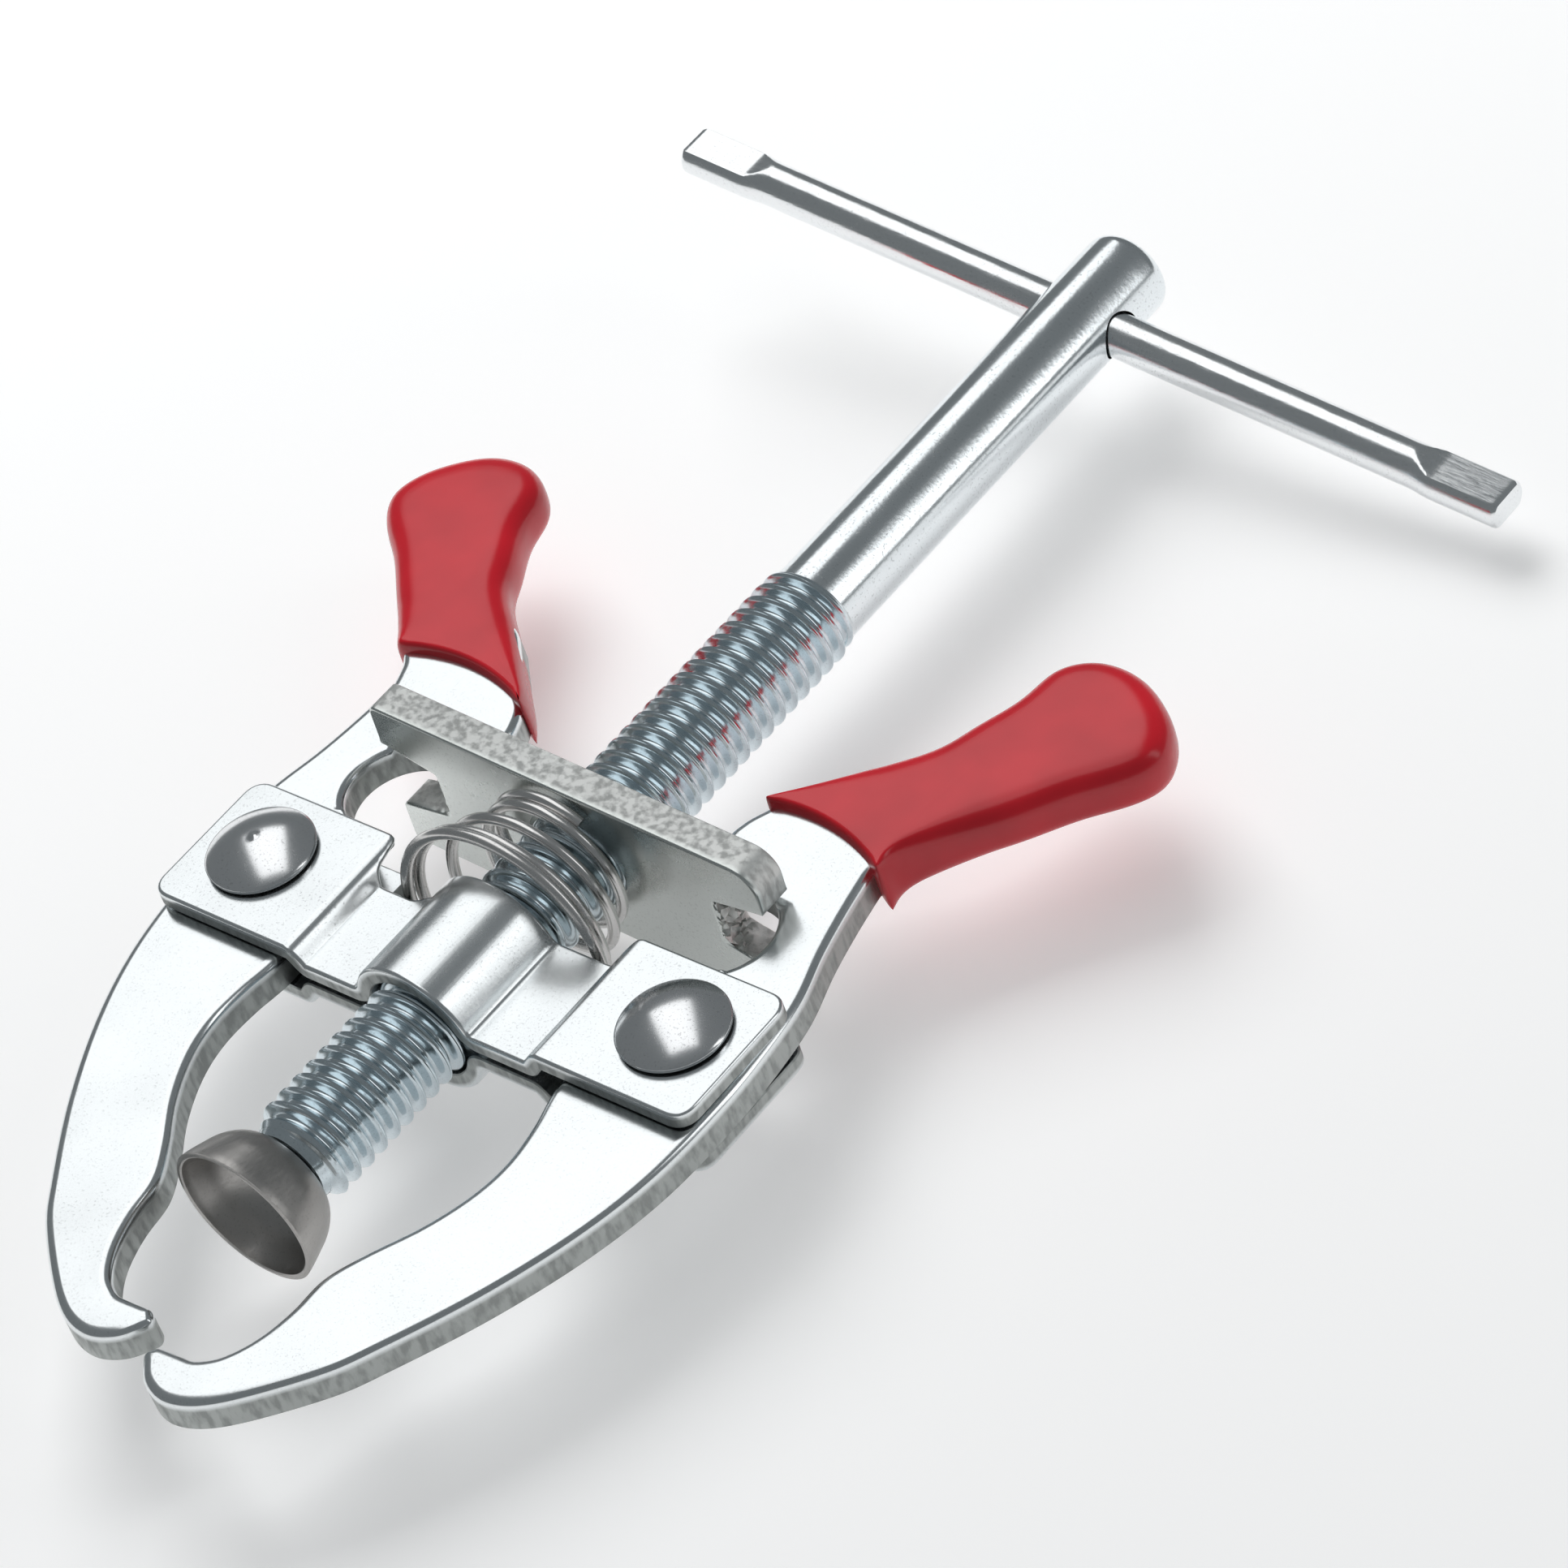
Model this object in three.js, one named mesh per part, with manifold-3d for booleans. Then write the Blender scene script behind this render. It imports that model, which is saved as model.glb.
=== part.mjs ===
// Spring-closed two-jaw screw puller. Millimetres, +Z up.
// X runs across the tool, Y along the screw from the jaws to the T-bar, Z square to the flat arms.
// The design frame has its origin on the screw axis, midway between the two rivets; the exported group
// moves the whole tool so that the origin is at the middle of the underside of its bounding box.

import * as THREE from "three";
import { mergeVertices } from "three/addons/utils/BufferGeometryUtils.js";
import Module from "manifold-3d";

const wasm = await Module();
wasm.setup();

// Driving dimensions
const CLEARANCE = 0.3; // gap between two pieces that touch or slide
const SCREW_RADIUS = 6.0;
const SCREW_PITCH = 2.1;
const THREAD_DEPTH = 1.25;
const THREAD_LENGTH = 88.2;
const SHANK_RADIUS = 5.32;
const SHANK_LENGTH = 58.6;
const SHANK_ROUNDING = 1.8;
const BAR_RADIUS = 2.6;
const BAR_LENGTH = 113.0;
const BAR_FROM_END = 9.6; // bar axis to the end of the shank
const BAR_OFFSET = 0.45; // how far the bar has slid to +X
const BAR_TURN = 0.14; // the spindle stands turned so that the bar's +X end is low
const BAR_HOLE_PLAY = 0.25;
const SWAGE_LENGTH = 8.5; // flattened ends that keep the bar in
const SWAGE_RAMP = 3.5;
const SWAGE_THICKNESS = 3.6;
const SWAGE_WIDTH = 5.9;

const RIVET_SPACING = 59.45;
const RIVET_RADIUS = 4.0;
const RIVET_HEAD_RADIUS = 6.28;
const RIVET_RIM = 0.5;
const RIVET_DOME = 1.95;

const ARM_THICKNESS = 4.2;
const ARM_EDGE = 0.7; // rolled edge of the stamping
const JAW_REACH = 54.0; // rivet line to the face of the hook
const HOOK_DEPTH = 5.5; // hook face to the jaw's tip
const LEAN = 0.06; // both arms stand turned by this much in the play of their rivets
const NOTCH_RADIUS = 6.4;
const NOTCH_CENTRE = { out: -6.4, down: 7.1 }; // out from the rivet axis, down from the shoulder
const SHOULDER_RISE = 15.9; // rivet line to the shoulder, less the notch's radius
const NECK_LENGTH = 9.0; // shoulder to the coating of the handle
const HANDLE_LENGTH = 31.8;

const COAT = 1.15; // vinyl over the edges of the handle
const GRIP_THICKNESS = 6.8;
const DIP_BEND = 0.022; // the edge of the coating is a parabola: its bend, and each side's top, out and up
const DIP_TOP = { left: [0, 1.9], right: [-8, 0.2] };
const GRIP_OUTWARD = { left: -0.75, right: 0.4 }; // how far each handle's outer side stands out

const BRACKET_THICKNESS = 2.0;
const BRACKET_FRONT = 9.5; // rivet line to the jaw-side edge
const EAR_BACK = 8.6;
const EAR_END = 8.7; // rivet axis to the outer edge
const EAR_CORNER = 2.2;
const STEP_FROM_RIVET = 13.8; // where the step up to the ear starts
const STEP_LENGTH = 2.4;
const SEAT_FROM_RIVET = 12.2; // where the spring's seat ends
const SEAT_BACK = 5.3; // rivet line to the edge the spring sits on
const SEAT_FILLET = 2.0;
const POCKET_RAMP = 2.3; // length of the slope into the pocket where the left side of the spring sits
const FLANGE_GAP = 0.9;
const BOSS_WALL_PLAY = 0.4;
const BOSS_FILLET = 2.0;

const CROSSBAR_THICKNESS = 4.2;
const SHOULDER_GAP = 0.9; // shoulder to the back of the crossbar
const CROSSBAR_EDGE = 0.3;
const CROSSBAR_HEIGHT = 21.1;
const CROSSBAR_OVERLAP = 2.8; // rivet axis to the crossbar's end
const CROSSBAR_ROLL = 0.064; // it stands rolled about the screw in the play of its slots
const CROSSBAR_CORNER = { left: 0.8, right: 3.0 };
const CROSSBAR_HOLE_PLAY = 0.6;
const SLOT_DEPTH = 7.5;
const SLOT_MOUTH = 9.6;
const SLOT_BOTTOM = 6.4;

const WIRE_RADIUS = 0.68;
const WIRE_GAP = 0.05; // between closed turns
const SPRING_LARGE_RADIUS = 12.9; // to the middle of the wire
const SPRING_SMALL_PLAY = 2.55; // thread's crest to the middle of the wire at the small end
const SPRING_TURNS = 4.6;
const CLOSED_LARGE = 1.54; // closed turns at the large end
const CLOSED_SMALL = 1.2;
const SPRING_TILT = { x: 0.05, z: 0.09 }; // rise along the screw per unit out, at the large end
const SPRING_SHIFT = { large: [-0.5, 0.1], small: [-0.7, 1.25] }; // middles of its ends off the screw axis

const CUP_RADIUS = 8.87;
const CUP_DEPTH = 7.0;
const CUP_WALL = 0.7;
const CUP_TO_RIVETS = 37.77; // rim of the cup to the rivet line
const STAKE_RADIUS = 4.1;
const STAKE_NECK = 3.2;
const STAKE_THICKNESS = 1.5;

// Derived places
const rivetX = RIVET_SPACING / 2;
const earBottom = ARM_THICKNESS / 2 + CLEARANCE;
const earTop = earBottom + BRACKET_THICKNESS;
const cupFloor = -CUP_TO_RIVETS + CUP_DEPTH - CUP_WALL;
const threadStart = cupFloor + CUP_WALL + CLEARANCE;
const threadEnd = threadStart + THREAD_LENGTH + SCREW_PITCH / 2;
const spindleEnd = threadEnd + SHANK_LENGTH;
const barY = spindleEnd - BAR_FROM_END;
const bossBore = SCREW_RADIUS + BOSS_WALL_PLAY;
const shoulderY = NOTCH_RADIUS + SHOULDER_RISE;
const crossbarBack = shoulderY - SHOULDER_GAP;
const crossbarFront = crossbarBack - CROSSBAR_THICKNESS;
const crossbarHalf = rivetX - CROSSBAR_OVERLAP;
const flangeTop = FLANGE_GAP / 2 + BRACKET_THICKNESS;
const closedPitch = 2 * WIRE_RADIUS + WIRE_GAP;
const wireRoom = CLEARANCE + WIRE_RADIUS;
const springSmallRadius = SCREW_RADIUS + SPRING_SMALL_PLAY;
const springTip = SPRING_TILT.x * SPRING_LARGE_RADIUS;
const springDip = SPRING_TILT.z * flangeTop;
const springLow = SEAT_BACK + wireRoom + springDip - 0.75 * closedPitch - springTip;
const pocketBack = springLow + 0.2 * closedPitch - springTip - springDip - wireRoom;

const vec = (x, y) => new THREE.Vector2(x, y);

// Closed solid of a geometry, and back
function solid(geometry) {
  const bare = geometry.index ? geometry.toNonIndexed() : geometry.clone();
  bare.deleteAttribute("normal");
  bare.deleteAttribute("uv");
  const merged = mergeVertices(bare, 1e-4);
  return new wasm.Manifold(
    new wasm.Mesh({
      numProp: 3,
      vertProperties: merged.attributes.position.array,
      triVerts: new Uint32Array(merged.index.array),
    }),
  );
}

function geometryOf(body) {
  const mesh = body.getMesh();
  const geometry = new THREE.BufferGeometry();
  geometry.setAttribute("position", new THREE.BufferAttribute(mesh.vertProperties, 3));
  geometry.setIndex(new THREE.BufferAttribute(mesh.triVerts, 1));
  geometry.computeVertexNormals();
  return geometry;
}

// Plate of a closed outline in XY, centred on z = 0, with an optional rolled edge
function plate(outline, thickness, edge = 0, edgeSegments = 1) {
  const geometry = new THREE.ExtrudeGeometry(new THREE.Shape(outline), {
    depth: thickness - 2 * edge,
    bevelEnabled: edge > 0,
    bevelThickness: edge,
    bevelSize: edge,
    bevelOffset: -edge,
    bevelSegments: edgeSegments,
  });
  geometry.translate(0, 0, -thickness / 2 + edge);
  return geometry;
}

function cylinderZ(radius, length, segments = 32) {
  return new THREE.CylinderGeometry(radius, radius, length, segments).rotateX(Math.PI / 2);
}

// Points of a circular arc, by its centre, radius and end angles in degrees
function arc(cx, cy, radius, from, to, steps) {
  const points = [];
  for (let i = 0; i <= steps; i++) {
    const angle = THREE.MathUtils.degToRad(from + ((to - from) * i) / steps);
    points.push(vec(cx + radius * Math.cos(angle), cy + radius * Math.sin(angle)));
  }
  return points;
}

// Even points along a smooth curve through the given ones
function smooth(points, steps) {
  return new THREE.SplineCurve(points).getPoints(steps);
}

// Outline moved inwards by a distance, for an outline that runs counter-clockwise
function inset(outline, distance) {
  return outline.map((point, i) => {
    const before = outline[(i + outline.length - 1) % outline.length];
    const after = outline[(i + 1) % outline.length];
    const along = after.clone().sub(before).normalize();
    return vec(point.x - along.y * distance, point.y + along.x * distance);
  });
}

const zinc = (name, color, roughness) =>
  new THREE.MeshStandardMaterial({ name, color, roughness, metalness: 1 });
const materials = {
  plated: zinc("plated", 0xc9cfd2, 0.28),
  thread: zinc("thread", 0x8fa0aa, 0.3),
  bright: zinc("bright", 0xd8dbdc, 0.12),
  wire: zinc("wire", 0xa8a6a4, 0.3),
  vinyl: new THREE.MeshStandardMaterial({ name: "vinyl", color: 0xc8102e, roughness: 0.25, metalness: 0 }),
};

function piece(name, geometry, material) {
  const mesh = new THREE.Mesh(geometry, material);
  mesh.name = name;
  return mesh;
}

// Right arm and grip. Outline points are (out from the rivet axis, up the tool from the rivet line).
const gripStart = shoulderY + NECK_LENGTH;
const atJaw = (share, out) => vec(out, -JAW_REACH * share);
const atGrip = (share, out) => vec(out, gripStart + HANDLE_LENGTH * share);

const jawOuter = smooth(
  [
    vec(-26.2, -JAW_REACH - 0.8 * HOOK_DEPTH),
    vec(-22.2, -JAW_REACH - HOOK_DEPTH),
    vec(-17.1, -JAW_REACH - 0.6 * HOOK_DEPTH),
    atJaw(0.93, -9.4),
    atJaw(0.83, -5.5),
    atJaw(0.65, 0.3),
    atJaw(0.46, 5.0),
    atJaw(0.28, 7.8),
    atJaw(0.09, 8.9),
    vec(8.9, 3),
    vec(8.3, 10),
    vec(6.6, 16.5),
    vec(5.5, shoulderY),
    vec(4.7, gripStart - 3),
  ],
  30,
);

const jawInner = smooth(
  [
    atJaw(0.0, -9.1),
    atJaw(0.11, -9.4),
    atJaw(0.19, -9.45),
    atJaw(0.28, -8.5),
    atJaw(0.37, -8.15),
    atJaw(0.46, -9.0),
    atJaw(0.56, -11.3),
    atJaw(0.66, -14.7),
    atJaw(0.74, -16.9),
    atJaw(0.83, -17.4),
    atJaw(0.91, -18.6),
    atJaw(0.97, -20.6),
  ],
  20,
);

const gripInner = smooth(
  [
    atGrip(0.0, -12.1),
    atGrip(0.11, -9.0),
    atGrip(0.27, -4.1),
    atGrip(0.43, 1.1),
    atGrip(0.57, 3.3),
    atGrip(0.72, 5.6),
    atGrip(0.88, 6.8),
  ],
  12,
);

const gripEnd = (outward) =>
  smooth(
    [
      atGrip(0.88, 6.8),
      atGrip(0.965, 9.8),
      atGrip(0.985, 13.7),
      atGrip(0.945, 18.1 + outward / 2),
      atGrip(0.83, 22.8 + outward),
      atGrip(0.71, 24.8 + outward),
      atGrip(0.62, 24.5 + outward),
      atGrip(0.53, 22.4 + outward),
    ],
    14,
  );

const gripOuter = (outward) =>
  smooth(
    [
      atGrip(0.53, 22.4 + outward),
      atGrip(0.42, 18.6 + outward),
      atGrip(0.27, 14.5 + outward),
      atGrip(0.11, 9.8 + outward / 2),
      atGrip(-0.03, 6.4),
    ],
    8,
  );

// Counter-clockwise outline of the coated handle, carried on down the neck below the coating's edge
function gripOutline(name) {
  const outward = GRIP_OUTWARD[name];
  return [
    vec(6.6, gripStart - 6),
    ...gripOuter(outward).reverse(),
    ...gripEnd(outward).slice(0, -1).reverse(),
    ...gripInner.slice(0, -1).reverse(),
    vec(-14.4, gripStart - 6),
  ];
}

// Counter-clockwise outline of the whole stamping; its handle is the grip less the coating
function armOutline(name) {
  const handle = inset(gripOutline(name), COAT);
  return [
    vec(-28.8, -JAW_REACH - 0.25 * HOOK_DEPTH),
    ...jawOuter,
    ...handle.slice(2, -3),
    vec(-13.3, shoulderY + 0.55 * NECK_LENGTH),
    vec(-13.2, shoulderY + 1.3),
    vec(-12.1, shoulderY + 0.2),
    ...arc(NOTCH_CENTRE.out, shoulderY - NOTCH_CENTRE.down, NOTCH_RADIUS, 90, -90, 14),
    vec(-7.9, shoulderY - 15.0),
    ...jawInner,
    vec(-22.9, -JAW_REACH),
    vec(-27.8, -JAW_REACH),
  ];
}

function arm(name) {
  const body = solid(plate(armOutline(name), ARM_THICKNESS, ARM_EDGE));
  const hole = solid(cylinderZ(RIVET_RADIUS + CLEARANCE, 2 * ARM_THICKNESS));
  return geometryOf(body.subtract(hole));
}

// Everything above the curved edge of the coating
function aboveDip(name) {
  const [topOut, topUp] = DIP_TOP[name];
  const reach = 16;
  const points = [];
  for (let i = -4; i <= 4; i++) {
    const out = (reach * i) / 4;
    points.push(vec(out, gripStart + topUp - DIP_BEND * (out - topOut) ** 2));
  }
  const far = gripStart + 2 * HANDLE_LENGTH;
  points.push(vec(3 * reach, gripStart), vec(3 * reach, far));
  points.push(vec(-3 * reach, far), vec(-3 * reach, gripStart));
  return solid(plate(points, 2 * GRIP_THICKNESS));
}

// Vinyl sleeve: the rounded outside less the handle that it was dipped on
function grip(name) {
  const rounding = 0.4 * GRIP_THICKNESS;
  const outside = solid(plate(gripOutline(name), GRIP_THICKNESS, rounding, 3));
  const inside = solid(plate(inset(armOutline(name), -CLEARANCE), ARM_THICKNESS + 2 * CLEARANCE));
  return geometryOf(outside.subtract(inside).intersect(aboveDip(name)));
}

// A jaw turns about its rivet; the left one is the right one's mirror image, but leans the same way
function jaw(side, name) {
  const pivot = new THREE.Group();
  pivot.position.x = side * rivetX;
  pivot.rotation.z = LEAN;
  const steel = piece(`${name}_arm`, arm(name), materials.plated);
  const vinyl = piece(`${name}_grip`, grip(name), materials.vinyl);
  for (const mesh of [steel, vinyl]) {
    mesh.scale.x = side;
    pivot.add(mesh);
  }
  return pivot;
}

// Section of a bracket across the tool: ear, step down to the flange, fillet, boss over the screw
function bracketSection() {
  const middle = BRACKET_THICKNESS / 2;
  const flangeZ = FLANGE_GAP / 2 + middle;
  const earZ = earBottom + middle;
  const bossRadius = bossBore + middle;
  const filletZ = flangeZ + BOSS_FILLET;
  const filletX = Math.sqrt((bossRadius + BOSS_FILLET) ** 2 - filletZ ** 2);
  const tangent = THREE.MathUtils.radToDeg(Math.atan2(filletZ, filletX));
  const line = [
    ...arc(0, 0, bossRadius, 90, tangent, 8),
    ...arc(filletX, filletZ, BOSS_FILLET, 180 + tangent, 270, 4).slice(1),
  ];
  const stepStart = rivetX - STEP_FROM_RIVET;
  for (let i = 0; i <= 6; i++) {
    const share = i / 6;
    const rise = (1 - Math.cos(Math.PI * share)) / 2;
    line.push(vec(stepStart + STEP_LENGTH * share, flangeZ + (earZ - flangeZ) * rise));
  }
  line.push(vec(rivetX + 2 * EAR_END, earZ));
  const mirrored = line.slice(1).reverse();
  const whole = [...mirrored.map((point) => vec(-point.x, point.y)), ...line];
  const outline = [];
  for (const side of [1, -1]) {
    const edge = whole.map((point, i) => {
      const before = whole[Math.max(i - 1, 0)];
      const after = whole[Math.min(i + 1, whole.length - 1)];
      const along = after.clone().sub(before).normalize();
      return vec(point.x - side * along.y * middle, point.y + side * along.x * middle);
    });
    outline.push(...(side > 0 ? edge.reverse() : edge));
  }
  return outline;
}

// Plan of a bracket; the spring's right side sits on the straight back edge, its left side in the pocket
function bracketPlan() {
  const end = rivetX + EAR_END;
  const corner = EAR_CORNER;
  const seatEnd = rivetX - SEAT_FROM_RIVET;
  const fillet = seatEnd - SEAT_FILLET;
  const ear = [
    ...arc(end - corner, -BRACKET_FRONT + corner, corner, -90, 0, 5),
    ...arc(end - corner, EAR_BACK - corner, corner, 0, 90, 5),
    vec(seatEnd + 0.4, EAR_BACK),
  ];
  const right = [...ear, ...arc(fillet, SEAT_BACK + SEAT_FILLET, SEAT_FILLET, 0, -90, 5)];
  const pocketEnd = SPRING_LARGE_RADIUS - SPRING_SHIFT.large[0] - 2 * WIRE_RADIUS - POCKET_RAMP / 2;
  const left = [
    ...ear,
    ...arc(fillet, pocketBack + SEAT_FILLET, SEAT_FILLET, 0, -90, 5),
    vec(pocketEnd, pocketBack),
    vec(pocketEnd - POCKET_RAMP, SEAT_BACK),
  ];
  return [...right, ...left.map((point) => vec(-point.x, point.y)).reverse()];
}

function bracket() {
  const length = 2 * (BRACKET_FRONT + EAR_BACK);
  const section = new THREE.ExtrudeGeometry(new THREE.Shape(bracketSection()), {
    depth: length,
    bevelEnabled: false,
  });
  section.rotateX(Math.PI / 2);
  section.translate(0, length / 2, 0);
  const plan = plate(bracketPlan(), 4 * (bossBore + BRACKET_THICKNESS));
  let body = solid(section).intersect(solid(plan));
  for (const side of [-1, 1]) {
    const hole = cylinderZ(RIVET_RADIUS + CLEARANCE, 4 * earTop).translate(side * rivetX, 0, 0);
    body = body.subtract(solid(hole));
  }
  return geometryOf(body);
}

function rivet() {
  const seat = earTop + CLEARANCE;
  const rim = seat + RIVET_RIM;
  const domeRadius = (RIVET_HEAD_RADIUS ** 2 + RIVET_DOME ** 2) / (2 * RIVET_DOME);
  const edge = THREE.MathUtils.radToDeg(Math.asin(RIVET_HEAD_RADIUS / domeRadius));
  const dome = arc(0, rim + RIVET_DOME - domeRadius, domeRadius, 90 - edge, 90, 5);
  dome[dome.length - 1].x = 0;
  const half = [vec(RIVET_RADIUS, seat), vec(RIVET_HEAD_RADIUS, seat), ...dome];
  const profile = [...half.map((point) => vec(point.x, -point.y)).reverse(), ...half];
  return new THREE.LatheGeometry(profile, 28).rotateX(Math.PI / 2);
}

// Plate with an open slot at each end for the arms and a hole for the screw, drawn in XZ
function crossbar() {
  const top = CROSSBAR_HEIGHT / 2;
  const slotEnd = crossbarHalf - SLOT_DEPTH;
  const end = (corner) => {
    const quarter = [
      vec(slotEnd, SLOT_BOTTOM / 2),
      vec(crossbarHalf, SLOT_MOUTH / 2),
      ...arc(crossbarHalf - corner, top - corner, corner, 0, 90, 5),
    ];
    return [...quarter.map((point) => vec(point.x, -point.y)).reverse(), ...quarter];
  };
  const left = end(CROSSBAR_CORNER.left).map((point) => vec(-point.x, point.y));
  const outline = [...end(CROSSBAR_CORNER.right), ...left.reverse()];
  const hole = cylinderZ(SCREW_RADIUS + CROSSBAR_HOLE_PLAY, 2 * CROSSBAR_THICKNESS, 40);
  const body = solid(plate(outline, CROSSBAR_THICKNESS, CROSSBAR_EDGE)).subtract(solid(hole));
  return geometryOf(body).rotateX(Math.PI / 2);
}

// Conical compression spring with closed turns at each end; it starts at its lowest point and leans
function springPoint(turn) {
  const high = crossbarFront - wireRoom;
  const { lerp, clamp } = THREE.MathUtils;
  const openTurns = SPRING_TURNS - CLOSED_LARGE - CLOSED_SMALL;
  const openRise = high - springLow - closedPitch * (CLOSED_LARGE + CLOSED_SMALL);
  const openShare = clamp((turn - CLOSED_LARGE) / openTurns, 0, 1);
  const closed = Math.min(turn, CLOSED_LARGE) + Math.max(turn - SPRING_TURNS + CLOSED_SMALL, 0);
  const y = springLow + closedPitch * closed + openRise * openShare;
  const coned = clamp((turn - 1) / (SPRING_TURNS - CLOSED_SMALL - 1), 0, 1);
  const radius = lerp(SPRING_LARGE_RADIUS, springSmallRadius, coned);
  const share = (y - springLow) / (high - springLow);
  const angle = -2 * Math.PI * (turn + 0.25);
  const x = radius * Math.cos(angle);
  const z = radius * Math.sin(angle);
  const lean = (1 - share) * (SPRING_TILT.x * x + SPRING_TILT.z * z);
  const [shiftX, shiftZ] = [0, 1].map((i) => lerp(SPRING_SHIFT.large[i], SPRING_SHIFT.small[i], share));
  return new THREE.Vector3(x + shiftX, y + lean, z + shiftZ);
}

class SpringCurve extends THREE.Curve {
  getPoint(share) {
    return springPoint(share * SPRING_TURNS);
  }
}

function spring() {
  const section = new THREE.Shape(arc(0, 0, WIRE_RADIUS, 0, 360, 8).slice(0, -1));
  return new THREE.ExtrudeGeometry(section, {
    steps: Math.round(18 * SPRING_TURNS),
    extrudePath: new SpringCurve(),
  });
}

// Spindle: staked tip, ring grooves at the screw's pitch, plain shank with the hole for the bar
function spindle() {
  const stakeBack = cupFloor - CLEARANCE;
  const stakeFront = stakeBack - STAKE_THICKNESS;
  const root = SCREW_RADIUS - THREAD_DEPTH;
  const profile = [
    vec(0, stakeFront),
    vec(STAKE_RADIUS - 0.4, stakeFront),
    vec(STAKE_RADIUS, stakeFront + 0.4),
    vec(STAKE_RADIUS, stakeBack),
    vec(STAKE_NECK, stakeBack),
    vec(STAKE_NECK, threadStart),
    vec(root, threadStart),
  ];
  const rings = Math.round(THREAD_LENGTH / SCREW_PITCH);
  for (let ring = 0; ring < rings; ring++) {
    const crest = threadStart + SCREW_PITCH * (ring + 0.6);
    profile.push(vec(SCREW_RADIUS, crest - 0.12 * SCREW_PITCH));
    profile.push(vec(SCREW_RADIUS, crest + 0.12 * SCREW_PITCH));
    profile.push(vec(root, crest + 0.5 * SCREW_PITCH));
  }
  profile.push(vec(SHANK_RADIUS, threadEnd));
  const centre = SHANK_RADIUS - SHANK_ROUNDING;
  profile.push(...arc(centre, spindleEnd - SHANK_ROUNDING, SHANK_ROUNDING, 0, 90, 4));
  profile.push(vec(0, spindleEnd));
  const body = solid(new THREE.LatheGeometry(profile, 16));
  const hole = new THREE.CylinderGeometry(
    BAR_RADIUS + BAR_HOLE_PLAY,
    BAR_RADIUS + BAR_HOLE_PLAY,
    4 * SHANK_RADIUS,
    24,
  );
  hole.rotateZ(Math.PI / 2);
  hole.translate(0, barY, 0);
  return geometryOf(body.subtract(solid(hole)));
}

// T-bar: a rod along X with both ends pressed flat, wider than the hole it slides in
function tBar() {
  const rod = new THREE.CylinderGeometry(BAR_RADIUS, BAR_RADIUS, BAR_LENGTH, 16, 32);
  rod.rotateZ(Math.PI / 2);
  const at = rod.attributes.position;
  for (let i = 0; i < at.count; i++) {
    const fromEnd = BAR_LENGTH / 2 - Math.abs(at.getX(i));
    const pressed = 1 - THREE.MathUtils.smoothstep(fromEnd, SWAGE_LENGTH, SWAGE_LENGTH + SWAGE_RAMP);
    const wider = THREE.MathUtils.lerp(1, SWAGE_WIDTH / (2 * BAR_RADIUS), pressed);
    const half = THREE.MathUtils.lerp(BAR_RADIUS, SWAGE_THICKNESS / 2, pressed);
    at.setY(i, at.getY(i) * wider);
    at.setZ(i, THREE.MathUtils.clamp(at.getZ(i), -half, half));
  }
  return rod;
}

// Swivel cup on the spindle's tip, open towards the jaws
function cup() {
  const outside = [
    [1.0, 0],
    [0.975, 0.15],
    [0.935, 0.36],
    [0.875, 0.6],
    [0.785, 0.8],
    [0.675, 0.94],
    [0.55, 1.0],
  ];
  const rim = -CUP_TO_RIVETS;
  const outer = outside.map(([r, d]) => vec(CUP_RADIUS * r, rim + CUP_DEPTH * d));
  const inner = outside.map(([r, d]) => vec(CUP_RADIUS * r - CUP_WALL, rim + (CUP_DEPTH - CUP_WALL) * d));
  const hole = STAKE_NECK + CLEARANCE;
  const profile = [...outer, vec(hole, rim + CUP_DEPTH), vec(hole, cupFloor), ...inner.reverse()];
  profile.push(profile[0].clone());
  return new THREE.LatheGeometry(profile, 32);
}

// Assembly
const tool = new THREE.Group();
tool.add(jaw(-1, "left"), jaw(1, "right"));

const upper = piece("upper_bracket", bracket(), materials.plated);
const lower = piece("lower_bracket", bracket(), materials.plated);
lower.scale.z = -1;
tool.add(upper, lower);

for (const [name, side] of [["left_rivet", -1], ["right_rivet", 1]]) {
  const pin = piece(name, rivet(), materials.bright);
  pin.position.x = side * rivetX;
  tool.add(pin);
}

const bar = piece("crossbar", crossbar(), materials.plated);
bar.position.y = crossbarBack - CROSSBAR_THICKNESS / 2;
bar.rotation.y = CROSSBAR_ROLL;
tool.add(bar);

tool.add(piece("spring", spring(), materials.wire));
tool.add(piece("cup", cup(), materials.plated));

const screw = new THREE.Group();
screw.rotation.y = BAR_TURN;
const handle = piece("t_bar", tBar(), materials.bright);
handle.position.set(BAR_OFFSET, barY, 0);
screw.add(piece("spindle", spindle(), materials.thread), handle);
tool.add(screw);

tool.updateMatrixWorld(true);
const bounds = new THREE.Box3().setFromObject(tool, true);
const middle = bounds.getCenter(new THREE.Vector3());
tool.position.set(-middle.x, -middle.y, -bounds.min.z);

const puller = new THREE.Group();
puller.name = "puller";
puller.add(tool);

export default puller;
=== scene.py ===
# %% [markdown]
# # A spring-closed screw puller
# The tool is a screw between two riveted jaws: two pressed plates carry the rivets and the nut,
# a slotted crossbar and a cone spring press the jaws shut, and a T-bar turns the screw against a cup.
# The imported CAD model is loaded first, as a fixed frame: every piece is then placed from it, in metres.

# %% Load the frame
import math

import bmesh
import bpy
import numpy as np
from mathutils import Matrix, Vector


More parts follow.
